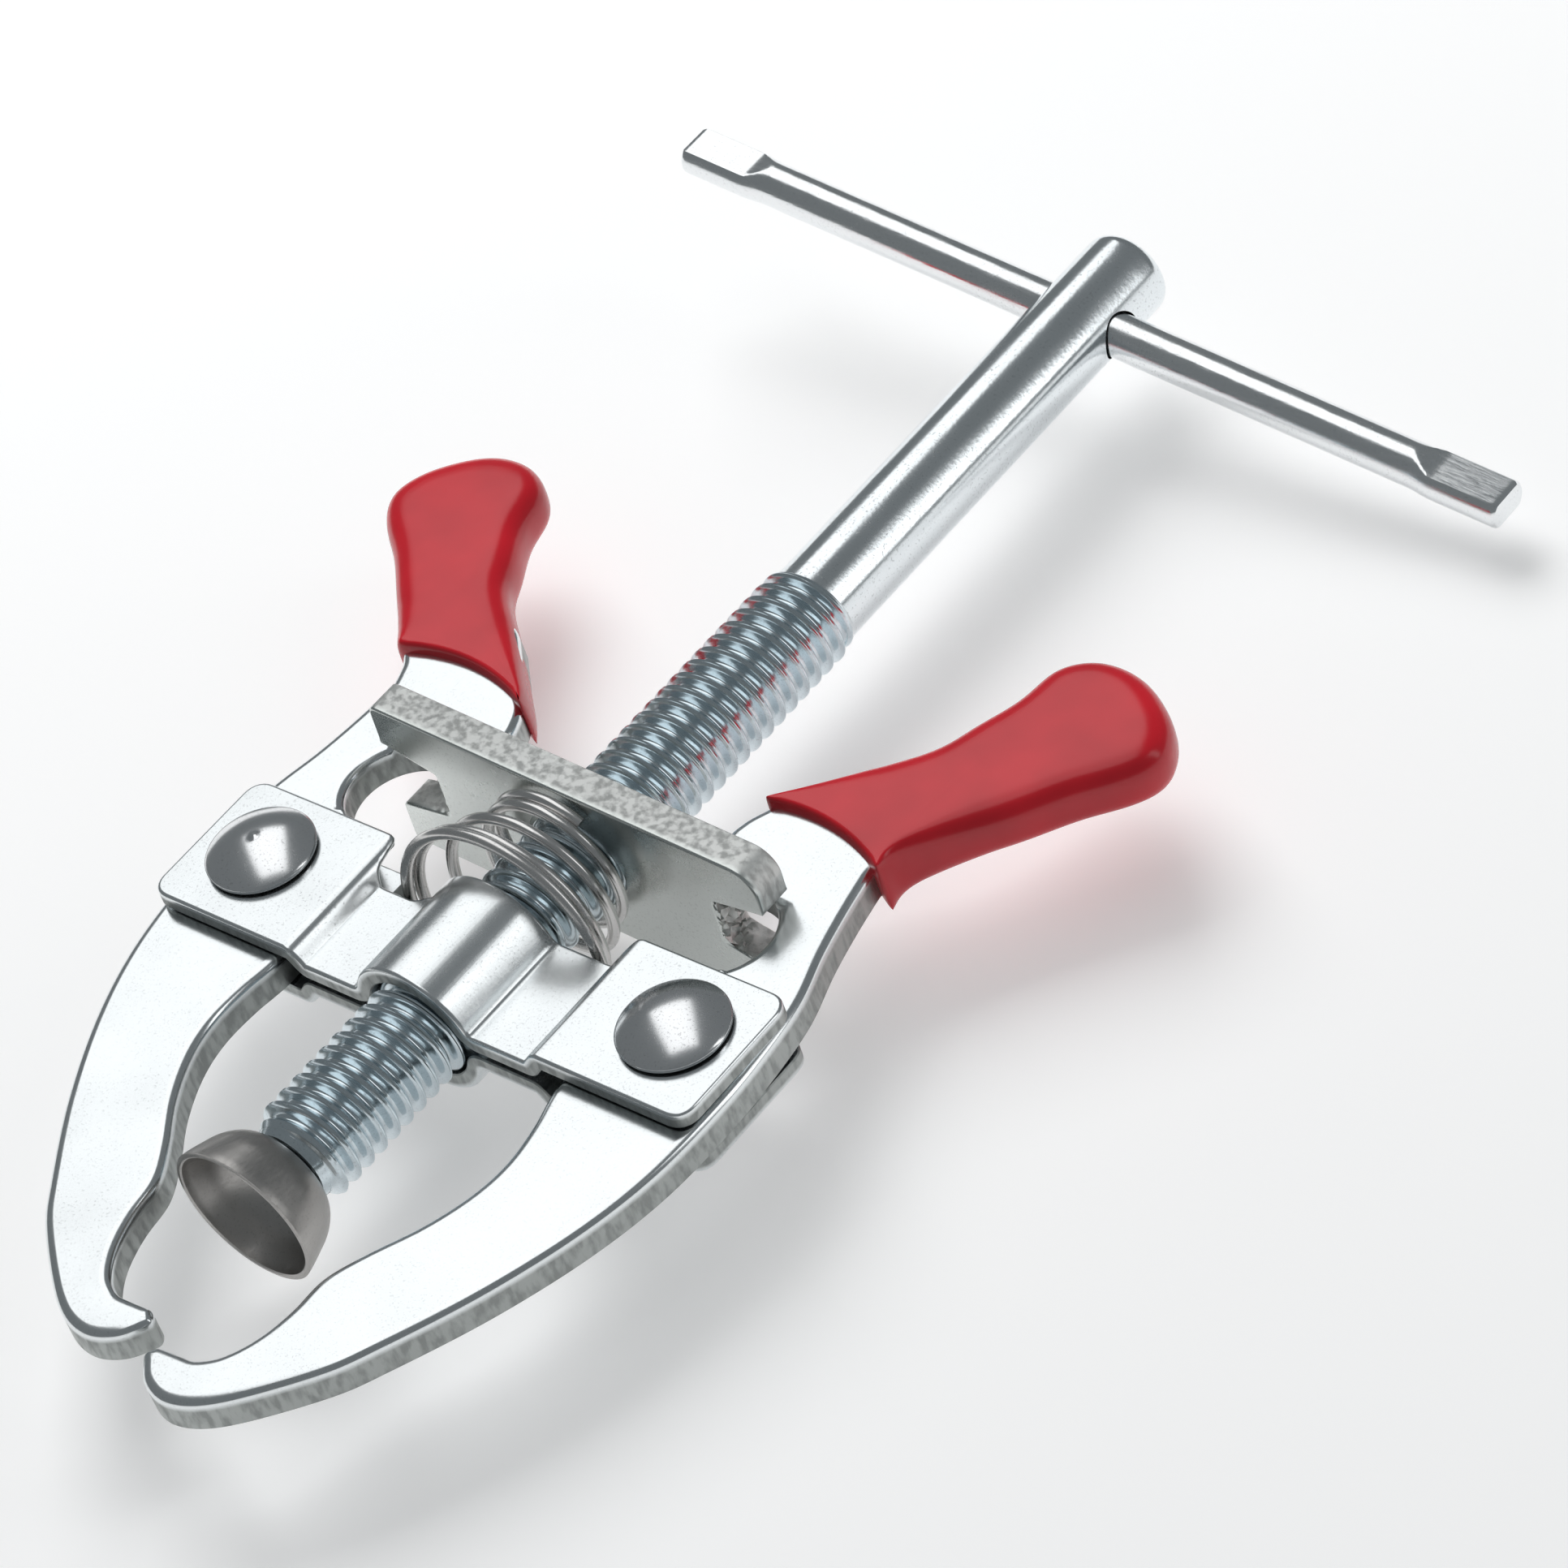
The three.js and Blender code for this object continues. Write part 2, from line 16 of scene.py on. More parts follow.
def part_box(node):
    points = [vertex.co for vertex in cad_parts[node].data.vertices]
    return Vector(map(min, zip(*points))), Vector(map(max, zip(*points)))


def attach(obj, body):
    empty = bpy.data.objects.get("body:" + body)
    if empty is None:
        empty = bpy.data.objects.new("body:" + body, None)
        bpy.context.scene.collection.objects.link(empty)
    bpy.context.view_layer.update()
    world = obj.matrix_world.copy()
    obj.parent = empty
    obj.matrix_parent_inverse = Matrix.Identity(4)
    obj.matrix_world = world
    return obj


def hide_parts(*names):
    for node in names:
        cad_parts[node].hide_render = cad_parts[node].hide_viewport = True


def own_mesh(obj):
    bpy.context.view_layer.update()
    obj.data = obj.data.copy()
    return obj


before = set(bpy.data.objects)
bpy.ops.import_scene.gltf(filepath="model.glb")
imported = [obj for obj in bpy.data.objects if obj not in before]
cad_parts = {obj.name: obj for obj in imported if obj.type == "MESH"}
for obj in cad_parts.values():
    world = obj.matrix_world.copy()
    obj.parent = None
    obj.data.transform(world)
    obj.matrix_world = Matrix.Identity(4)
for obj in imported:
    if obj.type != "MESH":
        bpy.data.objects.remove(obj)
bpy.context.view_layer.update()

# %% [markdown]
# ## Where things are
# The tool's own frame is handy for drawing: X across it, Y along the screw from the jaws to the T-bar,
# Z square to the flat arms, in millimetres, with its zero on the screw midway between the rivets.
# The two rivets of the CAD model say where that zero lies, so nothing has to be fitted by eye.

# %% The tool's own frame
MM = 0.001


def middle(node):
    low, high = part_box(node)
    return (low + high) / 2


left_pin, right_pin = middle("left_rivet"), middle("right_rivet")
tool_zero = np.array((left_pin + right_pin) / 2)
RIVET_X = (right_pin.x - left_pin.x) / 2 / MM
LEAN = 0.06
BAR_TURN = 0.14
CROSSBAR_ROLL = 0.064
print("half rivet spacing", round(RIVET_X, 3), "mm")


def about_z(points, angle):
    c, s = math.cos(angle), math.sin(angle)
    return points @ np.array([[c, s, 0], [-s, c, 0], [0, 0, 1]])


def about_y(points, angle):
    c, s = math.cos(angle), math.sin(angle)
    return points @ np.array([[c, 0, -s], [0, 1, 0], [s, 0, c]])


# %% [markdown]
# ## From points to a piece
# Every piece starts as a list of points in millimetres and a list of faces. One helper turns them into a
# mesh whose object stays at the origin, unturned, because the patterns of the finishes use Object
# coordinates. The mesh also carries marks, which are numbers stored on its points: a finish reads them
# to know, for example, which faces the press has sheared.

# %% Mesh helpers
def add_piece(name, points, faces, marks=None, sharp=32):
    mesh = bpy.data.meshes.new(name)
    places = np.asarray(points, float) * MM + tool_zero
    mesh.from_pydata(places.tolist(), [], [list(map(int, face)) for face in faces])
    for mark, values in (marks or {}).items():
        layer = mesh.attributes.new(mark, "FLOAT", "POINT")
        layer.data.foreach_set("value", np.asarray(values, np.float32))
    return finish_mesh(name, mesh, sharp)


def finish_mesh(name, mesh, sharp=32):
    """Outward faces, merged doubles, smooth shading with crisp edges, and an object to hold them."""
    work = bmesh.new()
    work.from_mesh(mesh)
    bmesh.ops.remove_doubles(work, verts=work.verts, dist=1e-7)
    bmesh.ops.recalc_face_normals(work, faces=work.faces)
    work.to_mesh(mesh)
    work.free()
    mesh.shade_smooth()
    mesh.set_sharp_from_angle(angle=math.radians(sharp))
    piece = bpy.data.objects.new(name, mesh)
    bpy.context.scene.collection.objects.link(piece)
    print(name, len(mesh.vertices), "points", len(mesh.polygons), "faces")
    return piece


def loft_faces(rings, around, closed=True):
    """Quads between rings of points, and a cap on the first and the last ring."""
    faces = []
    for ring in range(rings - 1):
        for i in range(around):
            j = (i + 1) % around
            a, b = ring * around, (ring + 1) * around
            faces.append((a + i, b + i, b + j, a + j))
    if closed:
        faces.append(list(range(around)))
        faces.append(list(range(around * rings - 1, around * (rings - 1) - 1, -1)))
    return faces


def lathe(profile, around=64):
    """Points and faces of a shape turned about Y; the profile is (radius, y) from one pole to the other."""
    angles = np.linspace(0, 2 * math.pi, around, endpoint=False)
    points = [
        np.column_stack([r * np.cos(angles), np.full(around, y), -r * np.sin(angles)]) for r, y in profile
    ]
    return np.vstack(points), loft_faces(len(profile), around)


def arc(cx, cy, radius, start, end, steps):
    angles = np.radians(np.linspace(start, end, steps + 1))
    return [(cx + radius * math.cos(a), cy + radius * math.sin(a)) for a in angles]


# %% [markdown]
# ## Outlines
# The flat parts are stampings, so each one is an outline that a die has cut. A Catmull-Rom curve through
# a few points gives the long sweeps. The outline is then divided evenly, and softened a little, because
# no die has perfectly sharp corners.

# %% Outline helpers
OUTLINE_STEP = 0.45
BLANK_STEP = 0.4


def sweep(points, each=10):
    """Smooth curve through the given points."""
    p = np.asarray(points, float)
    p = np.vstack([2 * p[0] - p[1], p, 2 * p[-1] - p[-2]])
    out = []
    for i in range(1, len(p) - 2):
        for t in np.linspace(0, 1, each, endpoint=False):
            a = 2 * p[i] + (p[i + 1] - p[i - 1]) * t
            b = (2 * p[i - 1] - 5 * p[i] + 4 * p[i + 1] - p[i + 2]) * t * t
            c = (3 * p[i] - p[i - 1] - 3 * p[i + 1] + p[i + 2]) * t**3
            out.append((a + b + c) / 2)
    return [*out, p[-2]]


def even(outline, step):
    """The same closed outline with its points a step apart."""
    p = np.asarray(outline, float)
    p = np.vstack([p, p[:1]])
    along = np.concatenate([[0], np.cumsum(np.linalg.norm(np.diff(p, axis=0), axis=1))])
    places = np.linspace(0, along[-1], int(along[-1] / step), endpoint=False)
    return np.column_stack([np.interp(places, along, p[:, k]) for k in (0, 1)])


def soften(outline, times):
    for _ in range(times):
        outline = (np.roll(outline, 1, 0) + 2 * outline + np.roll(outline, -1, 0)) / 4
    return outline


def inward(outline):
    """Unit normals into an outline that runs counter-clockwise."""
    along = np.roll(outline, -1, 0) - np.roll(outline, 1, 0)
    along /= np.linalg.norm(along, axis=1)[:, None]
    return np.column_stack([-along[:, 1], along[:, 0]])


ROOM_SLOPE = 0.12


def room(outline, normal, most):
    """How far each point can move inwards before its ring would fold; neighbours differ only a little."""
    start, end = outline, np.roll(outline, -1, 0)
    step = end - start
    length = (step**2).sum(1)
    free = np.full(len(outline), float(most))
    for share in np.linspace(1, 0.08, 12):
        depth = most * share
        p = outline + normal * depth
        t = ((p[:, None] - start) * step).sum(2) / length
        near = start + np.clip(t, 0, 1)[..., None] * step
        gap = np.linalg.norm(p[:, None] - near, axis=2).min(1)
        free[gap < 0.94 * depth] = depth * 0.9
    for _ in range(60):
        free = np.minimum(free, np.minimum(np.roll(free, 1), np.roll(free, -1)) + ROOM_SLOPE)
    return free


# %% [markdown]
# ## A stamping
# A press cuts sheet in two stages. The sheet first bends a little over the die, which leaves a rolled
# upper edge, and then shears, which leaves a rough side with a small burr below. A bevel would round all
# edges alike, so the plate is lofted instead: rings of the outline, each moved inwards and down by the
# shape of the roll. Where the outline turns tightly, the roll gets narrower, so that rings never cross.

# %% Stamping helper
def stamping(outline, top, bottom, roll, drop=1.0, lip=0.15, steps=5, rows=5):
    """Points, faces and marks of a plate; roll is how wide the rolled edge is at each outline point."""
    around = len(outline)
    normal = inward(outline)
    roll = np.broadcast_to(np.asarray(roll, float), around)
    free = room(outline, normal, roll.max() + 0.1)
    deep = np.minimum(roll, free)
    rings, cut = [], []

    def ring(inset, z, mark):
        rings.append(np.column_stack([outline + normal * inset[:, None], np.broadcast_to(z, around)]))
        cut.append(np.full(around, float(mark)))

    ring(np.minimum(deep + 0.08, np.maximum(free, deep)), top, 0)
    for k in range(steps + 1):
        angle = math.pi / 2 * k / steps
        ring(deep * (1 - math.sin(angle)), top - drop * roll * (1 - math.cos(angle)), 0)
    high = top - drop * roll
    for k in range(1, rows + 1):
        ring(np.zeros(around), high + (bottom + lip - high) * k / rows, 1)
    low = np.minimum(lip, deep)
    ring(low, bottom, 1)
    ring(np.minimum(low + 0.08, np.maximum(free, low)), bottom, 0)
    return np.vstack(rings), loft_faces(len(rings), around), {"cut": np.concatenate(cut)}


# %% [markdown]
# ## The arms
# Each arm is a lever stamped from 4.2 mm plate: a hooked jaw below its rivet, a notch where the crossbar
# sits, and a handle above. The left one is the right one turned over. The handle itself ends a little
# inside the grip, since nothing of it shows there. Both arms lean a little in the play of their rivets.

# %% Arms
ARM_HALF = 2.1
GRIP_Y = 31.3
JAW_OUTER = [
    (-28.8, -55.4), (-26.2, -58.4), (-22.2, -59.5), (-17.1, -57.3), (-9.4, -50.2), (-5.5, -44.8),
    (0.3, -35.1), (5.0, -24.8), (7.8, -15.1), (8.9, -4.9), (8.9, 3.0), (8.3, 10.0), (6.6, 16.5),
    (5.5, 22.3), (4.7, 28.0),
]  # fmt: skip
HANDLE_STUB = [(5.6, 31.0), (8.8, 35.4), (11.8, 38.8), (10.5, 41.0), (-1.5, 41.5), (-4.2, 40.0)]
STUB_INNER = [(-8.1, 35.6), (-11.0, 32.0), (-12.6, 29.4), (-13.3, 27.2), (-13.2, 23.6), (-12.1, 22.5)]
JAW_INNER = [
    (-7.9, 7.3), (-9.1, 0.0), (-9.4, -5.9), (-9.45, -10.3), (-8.5, -15.1), (-8.15, -20.0),
    (-9.0, -24.8), (-11.3, -30.2), (-14.7, -35.6), (-16.9, -40.0), (-17.4, -44.8), (-18.6, -49.1),
    (-20.6, -52.4), (-22.9, -54.0),
]  # fmt: skip
NOTCH = (-6.4, 15.2)
NOTCH_RADIUS = 6.4


def arm_outline():
    hook = [(-27.8, -54.0)]
    notch = arc(*NOTCH, NOTCH_RADIUS, 90, -90, 24)
    parts = [sweep(JAW_OUTER), HANDLE_STUB, STUB_INNER, notch, sweep(JAW_INNER), hook]
    return soften(even([point for part in parts for point in part], OUTLINE_STEP), 2)


def roll_width(outline):
    """Wide on the long sides, narrow round the notch and the shoulder."""
    away = np.linalg.norm(outline - np.array(NOTCH), axis=1)
    far = np.clip((away - 7.0) / 4.0, 0, 1)
    outer = outline[:, 0] > -2
    return 0.28 + 0.8 * np.where(outer, 1.0, far)


def to_jaw(points, side):
    """From the right arm's own frame, about its rivet, to the tool's frame."""
    turned = about_z(points * [side, 1, 1], LEAN)
    return turned + [side * RIVET_X, 0, 0]


arms = {}
for name, side in (("left", -1), ("right", 1)):
    outline = arm_outline()
    points, faces, marks = stamping(outline, ARM_HALF, -ARM_HALF, roll_width(outline), drop=0.75)
    arms[name] = add_piece(f"{name}_arm_stamping", to_jaw(points, side), faces, marks)

# %% [markdown]
# ## The dipped grips
# Each handle is dipped in liquid vinyl, which draws back from the edges, rounds them and runs to a thin
# curved hem where the dipping stopped. A subdivision surface could give that softness, but the outline is
# known, so the same rings are used with a rounder profile: a superellipse from the flat top to the side.

# %% Grips
HANDLE_LENGTH = 31.8
GRIP_HALF = 3.4
GRIP_ROUNDNESS = 0.72
DIP_BEND = 0.022
DIP = {"left": (0.0, 1.9), "right": (-8.0, 0.2)}
OUTWARD = {"left": -0.75, "right": 0.4}


def up_handle(share):
    return GRIP_Y + HANDLE_LENGTH * share


def dip_line(name, out):
    """Height of the coating's edge at a place across the handle."""
    top_out, top_up = DIP[name]
    return GRIP_Y + top_up - DIP_BEND * (out - top_out) ** 2


def grip_outline(name):
    o = OUTWARD[name]
    outer_side = [
        (6.4, -0.03), (9.8 + o / 2, 0.11), (14.5 + o, 0.27), (18.6 + o, 0.42), (22.4 + o, 0.53),
        (24.5 + o, 0.62), (24.8 + o, 0.71), (22.8 + o, 0.83), (18.1 + o / 2, 0.945),
    ]  # fmt: skip
    inner_side = [
        (13.7, 0.985), (9.8, 0.965), (6.8, 0.88), (5.6, 0.72), (3.3, 0.57), (1.1, 0.43), (-4.1, 0.27),
        (-9.0, 0.11), (-12.1, 0.0),
    ]  # fmt: skip
    around = [(out, up_handle(share)) for out, share in outer_side + inner_side]
    outer = [(6.5, 27.0), *around, (-14.3, 27.0)]
    line = np.array(sweep(outer, 12))
    kept = line[line[:, 1] > dip_line(name, line[:, 0])]
    hem = np.linspace(kept[-1, 0], kept[0, 0], 40)[1:-1]
    edge = np.column_stack([hem, dip_line(name, hem)])
    return soften(even(np.vstack([kept, edge]), OUTLINE_STEP), 8)


def grip_shape(name):
    outline = grip_outline(name)
    around = len(outline)
    normal = inward(outline)
    from_hem = outline[:, 1] - dip_line(name, outline[:, 0])
    wide = 0.9 + 2.9 * np.clip((from_hem - 0.3) / 6, 0, 1) ** 0.7
    deep = np.minimum(wide, room(outline, normal, wide.max()))
    rings = []
    steps = 11
    for k in [*range(steps), *range(steps, -1, -1)]:
        angle = math.pi / 2 * k / steps
        side = 1 if len(rings) < steps else -1
        inset = deep * (1 - math.sin(angle) ** GRIP_ROUNDNESS)
        height = GRIP_HALF * math.cos(angle) ** GRIP_ROUNDNESS * side
        rings.append(np.column_stack([outline + normal * inset[:, None], np.full(around, height)]))
    return np.vstack(rings), loft_faces(len(rings), around)


grips = {}
for name, side in (("left", -1), ("right", 1)):
    points, faces = grip_shape(name)
    grips[name] = add_piece(f"{name}_vinyl_grip", to_jaw(points, side), faces, sharp=60)

# %% [markdown]
# ## The two brackets
# Each bracket is one 2 mm plate: a flat blank, pressed into a half-round boss over the screw, with a step
# up to each ear. It is made here as the press makes it. The blank is a stamping laid flat, it is sliced
# across wherever it has to bend, and its points are then carried onto the section of the die.

# %% Bracket section
BLANK_HALF = 1.0
FLANGE_Z = 1.45
EAR_Z = 3.4
BOSS_RADIUS = 7.4
BOSS_FILLET = 2.0
EAR_END = 8.7
EAR_BACK = 8.6
EAR_CORNER = 2.2
STEP_FROM_RIVET = 13.8
STEP_LENGTH = 2.4
BRACKET_FRONT = 9.5
SEAT_FROM_RIVET = 12.2
SEAT_FILLET = 2.0
POCKET_RAMP = (10.9, 8.6)
SEAT_BACK = 5.3
POCKET_BACK = 3.235


def bracket_section():
    """Middle line of the plate from the top of the boss to the end of the ear, as (x, z)."""
    fillet_z = FLANGE_Z + BOSS_FILLET
    fillet_x = math.sqrt((BOSS_RADIUS + BOSS_FILLET) ** 2 - fillet_z**2)
    tangent = math.degrees(math.atan2(fillet_z, fillet_x))
    line = arc(0, 0, BOSS_RADIUS, 90, tangent, 26)
    line += arc(fillet_x, fillet_z, BOSS_FILLET, 180 + tangent, 270, 14)[1:]
    step_start = RIVET_X - STEP_FROM_RIVET
    for share in np.linspace(0, 1, 17):
        rise = (1 - math.cos(math.pi * share)) / 2
        line.append((step_start + STEP_LENGTH * share, FLANGE_Z + (EAR_Z - FLANGE_Z) * rise))
    line.append((RIVET_X + EAR_END + 1, EAR_Z))
    half = np.array(line)
    return np.vstack([half[:0:-1] * [-1, 1], half])


section = bracket_section()
section_run = np.concatenate([[0], np.cumsum(np.linalg.norm(np.diff(section, axis=0), axis=1))])
section_run -= section_run[-1] / 2
section_dir = np.gradient(section, section_run, axis=0)
section_dir /= np.linalg.norm(section_dir, axis=1)[:, None]
print("blank", round(section_run[-1] * 2, 1), "mm long before pressing")

# %% Bracket blank
def blank_outline():
    end, corner = RIVET_X + EAR_END, EAR_CORNER
    seat_end, fillet = RIVET_X - SEAT_FROM_RIVET, SEAT_FILLET
    ear = arc(end - corner, -BRACKET_FRONT + corner, corner, -90, 0, 8)
    ear += arc(end - corner, EAR_BACK - corner, corner, 0, 90, 8) + [(seat_end + 0.4, EAR_BACK)]
    right = ear + arc(seat_end - fillet, SEAT_BACK + fillet, fillet, 0, -90, 8)
    left = ear + arc(seat_end - fillet, POCKET_BACK + fillet, fillet, 0, -90, 8)
    left += list(zip(POCKET_RAMP, (POCKET_BACK, SEAT_BACK)))
    plan = np.array(right + [(-x, y) for x, y in left[::-1]])
    plan[:, 0] = np.interp(plan[:, 0], section[:, 0], section_run)
    return soften(even(plan, BLANK_STEP), 2)


def press(name, side):
    """Slice the blank across, then carry its points onto the section; side -1 is the lower bracket."""
    points, faces, marks = stamping(blank_outline(), BLANK_HALF, -BLANK_HALF, 0.4, drop=0.9, rows=3)
    mesh = bpy.data.meshes.new(name)
    mesh.from_pydata(points.tolist(), [], [list(map(int, face)) for face in faces])
    layer = mesh.attributes.new("cut", "FLOAT", "POINT")
    layer.data.foreach_set("value", marks["cut"].astype(np.float32))
    work = bmesh.new()
    work.from_mesh(mesh)
    for run in section_run[1:-1]:
        everything = [*work.verts, *work.edges, *work.faces]
        bmesh.ops.bisect_plane(work, geom=everything, dist=1e-4, plane_co=(run, 0, 0), plane_no=(1, 0, 0))
    for vert in work.verts:
        run, y, up = vert.co
        x, z, dx, dz = (
            float(np.interp(run, section_run, column)) for column in (*section.T, *section_dir.T)
        )
        size = math.hypot(dx, dz)
        pressed = np.array([x - dz / size * up, y, (z + dx / size * up) * side])
        vert.co = pressed * MM + tool_zero
    work.to_mesh(mesh)
    work.free()
    return finish_mesh(name, mesh)


brackets = {"upper": press("upper_pressing", 1), "lower": press("lower_pressing", -1)}

# %% [markdown]
# ## Rivets
# A rivet is a pin with a domed head at each end, so it is a profile turned about its own axis. The dome is
# part of a sphere and sits on a short rim. The left one keeps the small nib that the riveting tool left.

# %% Rivets
HEAD_RADIUS = 6.28
HEAD_SEAT = 4.7
HEAD_RIM = 0.5
HEAD_DOME = 1.95
NIB_HEIGHT = 0.22
NIB_RADIUS = 0.45


def rivet_profile(nib):
    dome_radius = (HEAD_RADIUS**2 + HEAD_DOME**2) / (2 * HEAD_DOME)
    edge = math.degrees(math.asin(HEAD_RADIUS / dome_radius))
    centre = HEAD_SEAT + HEAD_RIM + HEAD_DOME - dome_radius
    dome = arc(0, centre, dome_radius, 89.7, 90 - edge * 0.98, 24)
    if nib:
        dome[1:1] = [(r, centre + dome_radius) for r in (0.2, 0.4, 0.6)]
        dome = [(r, y + NIB_HEIGHT * math.exp(-((r / NIB_RADIUS) ** 2))) for r, y in dome]
    rim = [(HEAD_RADIUS - 0.02, HEAD_SEAT + HEAD_RIM - 0.05), (HEAD_RADIUS, HEAD_SEAT + HEAD_RIM - 0.16)]
    upper = [*dome, *rim, (HEAD_RADIUS - 0.1, HEAD_SEAT), (4.0, HEAD_SEAT - 0.02)]
    return upper + [(r, -y) for r, y in upper[::-1]]


rivets = {}
for name, side in (("left", -1), ("right", 1)):
    points, faces = lathe(rivet_profile(name == "left"), 72)
    upright = points[:, [0, 2, 1]] + [side * RIVET_X, 0, 0]
    rivets[name] = add_piece(f"{name}_rivet_turned", upright, faces, sharp=40)

# %% [markdown]
# ## The crossbar
# A thick strip with a slot at each end for the arms and a hole for the screw. Its outline is drawn in XZ
# and lofted like the other stampings, and the hole is then cut with a Boolean. The bottoms of the slots
# were torn rather than cut, so there the points are pushed about, with a fixed seed.

# %% Crossbar
CROSSBAR_BACK = 21.4
CROSSBAR_THICKNESS = 4.2
CROSSBAR_HALF = RIVET_X - 2.8
CROSSBAR_TOP = 10.55
SLOT_END = CROSSBAR_HALF - 7.5
HALF_SLOT_BOTTOM = 3.2
HALF_SLOT_MOUTH = 4.8
RIGHT_CORNER, LEFT_CORNER = 3.0, 0.8
SCREW_RADIUS = 6.0
CROSSBAR_HOLE = SCREW_RADIUS + 0.6


def crossbar_outline():
    def end(corner):
        quarter = [(SLOT_END, HALF_SLOT_BOTTOM), (CROSSBAR_HALF, HALF_SLOT_MOUTH)]
        quarter += arc(CROSSBAR_HALF - corner, CROSSBAR_TOP - corner, corner, 0, 90, 10)
        return [(x, -z) for x, z in quarter[::-1]] + quarter

    outline = end(RIGHT_CORNER) + [(-x, z) for x, z in end(LEFT_CORNER)[::-1]]
    return soften(even(outline, BLANK_STEP), 1)


def cut_with(piece, points, faces, name):
    """Boolean difference, applied; the cutter is removed."""
    cutter = add_piece(name, points, faces)
    cut = piece.modifiers.new("cut", "BOOLEAN")
    cut.operation, cut.solver, cut.object = "DIFFERENCE", "EXACT", cutter
    bpy.context.view_layer.update()
    made = bpy.data.meshes.new_from_object(piece.evaluated_get(bpy.context.evaluated_depsgraph_get()))
    piece.modifiers.clear()
    old, piece.data = piece.data, made
    bpy.data.meshes.remove(old)
    bpy.data.objects.remove(cutter)
    made.name = piece.name
    made.set_sharp_from_angle(angle=math.radians(32))
    print(piece.name, "after the cut:", len(made.polygons), "faces")


outline = crossbar_outline()
half = CROSSBAR_THICKNESS / 2
points, faces, marks = stamping(outline, half, -half, 0.3, drop=0.9, rows=7)
torn = np.clip(1 - (np.abs(points[:, 0]) - SLOT_END) / 3.2, 0, 1) * (np.abs(points[:, 1]) < 4.2)
torn *= (np.abs(points[:, 0]) > SLOT_END - 1.5) * (np.abs(points[:, 2]) < 1.95)
scatter = np.random.default_rng(4).normal(0, 0.28, (len(points), 2))
points[:, :2] += scatter * torn[:, None]
upright = np.column_stack([points[:, 0], -points[:, 2], points[:, 1]])
upright[:, 1] += CROSSBAR_BACK - half
crossbar = add_piece("crossbar_stamping", about_y(upright, CROSSBAR_ROLL), faces, marks)
hole_profile = [(1e-3, 10), (CROSSBAR_HOLE, 10), (CROSSBAR_HOLE, 30), (1e-3, 30)]
cut_with(crossbar, *lathe(hole_profile, 72), "hole")

# %% [markdown]
# ## Nodes from Python's own signs
# Geometry Nodes and shaders are both node trees. Writing each Math node by hand hides the sum that it
# works out, so this small class wraps the output of a node: adding or multiplying two of them makes the
# Math node and its links. Any other node comes from one method of the tree's own wrapper.

# %% Node helpers
class Value:
    def __init__(self, graph, socket):
        self.graph, self.socket = graph, socket

    def __getitem__(self, name):
        return Value(self.graph, self.socket.node.outputs[name])

    def maths(self, operation, *others):
        inputs = dict(enumerate((self, *others)))
        return self.graph.node("ShaderNodeMath", {"operation": operation}, inputs)

    def flipped(self, operation, other):
        return self.graph.node("ShaderNodeMath", {"operation": operation}, {0: other, 1: self})

    def __add__(self, other):
        return self.maths("ADD", other)

    def __sub__(self, other):
        return self.maths("SUBTRACT", other)

    def __rsub__(self, other):
        return self.flipped("SUBTRACT", other)

    def __mul__(self, other):
        return self.maths("MULTIPLY", other)

    def __truediv__(self, other):
        return self.maths("DIVIDE", other)

    __radd__ = __add__
    __rmul__ = __mul__

    def clamped(self, low=0.0, high=1.0):
        return self.maths("MAXIMUM", low).maths("MINIMUM", high)

    def between(self, low, high):
        """0 below low, 1 above high, even between them."""
        inputs = {"Value": self, "From Min": low, "From Max": high}
        return self.graph.node("ShaderNodeMapRange", {"clamp": True}, inputs)


class Graph:
    def __init__(self, tree):
        self.tree = tree
        tree.nodes.clear()

    def node(self, kind, settings=None, inputs=None):
        made = self.tree.nodes.new(kind)
        for key, value in (settings or {}).items():
            setattr(made, key, value)
        for key, value in (inputs or {}).items():
            if isinstance(value, Value):
                self.tree.links.new(value.socket, made.inputs[key])
            else:
                made.inputs[key].default_value = value
        return Value(self, made.outputs[0]) if made.outputs else made


def geometry_graph(name, sizes):
    """A Geometry Nodes tree whose inputs are the named sizes; returns it and the value of each input."""
    tree = bpy.data.node_groups.new(name, "GeometryNodeTree")
    graph = Graph(tree)
    for key, value in sizes.items():
        kind = "NodeSocketInt" if isinstance(value, int) else "NodeSocketFloat"
        kind = "NodeSocketMaterial" if isinstance(value, bpy.types.Material) else kind
        tree.interface.new_socket(name=key, in_out="INPUT", socket_type=kind)
    tree.interface.new_socket(name="Geometry", in_out="OUTPUT", socket_type="NodeSocketGeometry")
    entry = tree.nodes.new("NodeGroupInput")
    return graph, {key: Value(graph, entry.outputs[key]) for key in sizes}


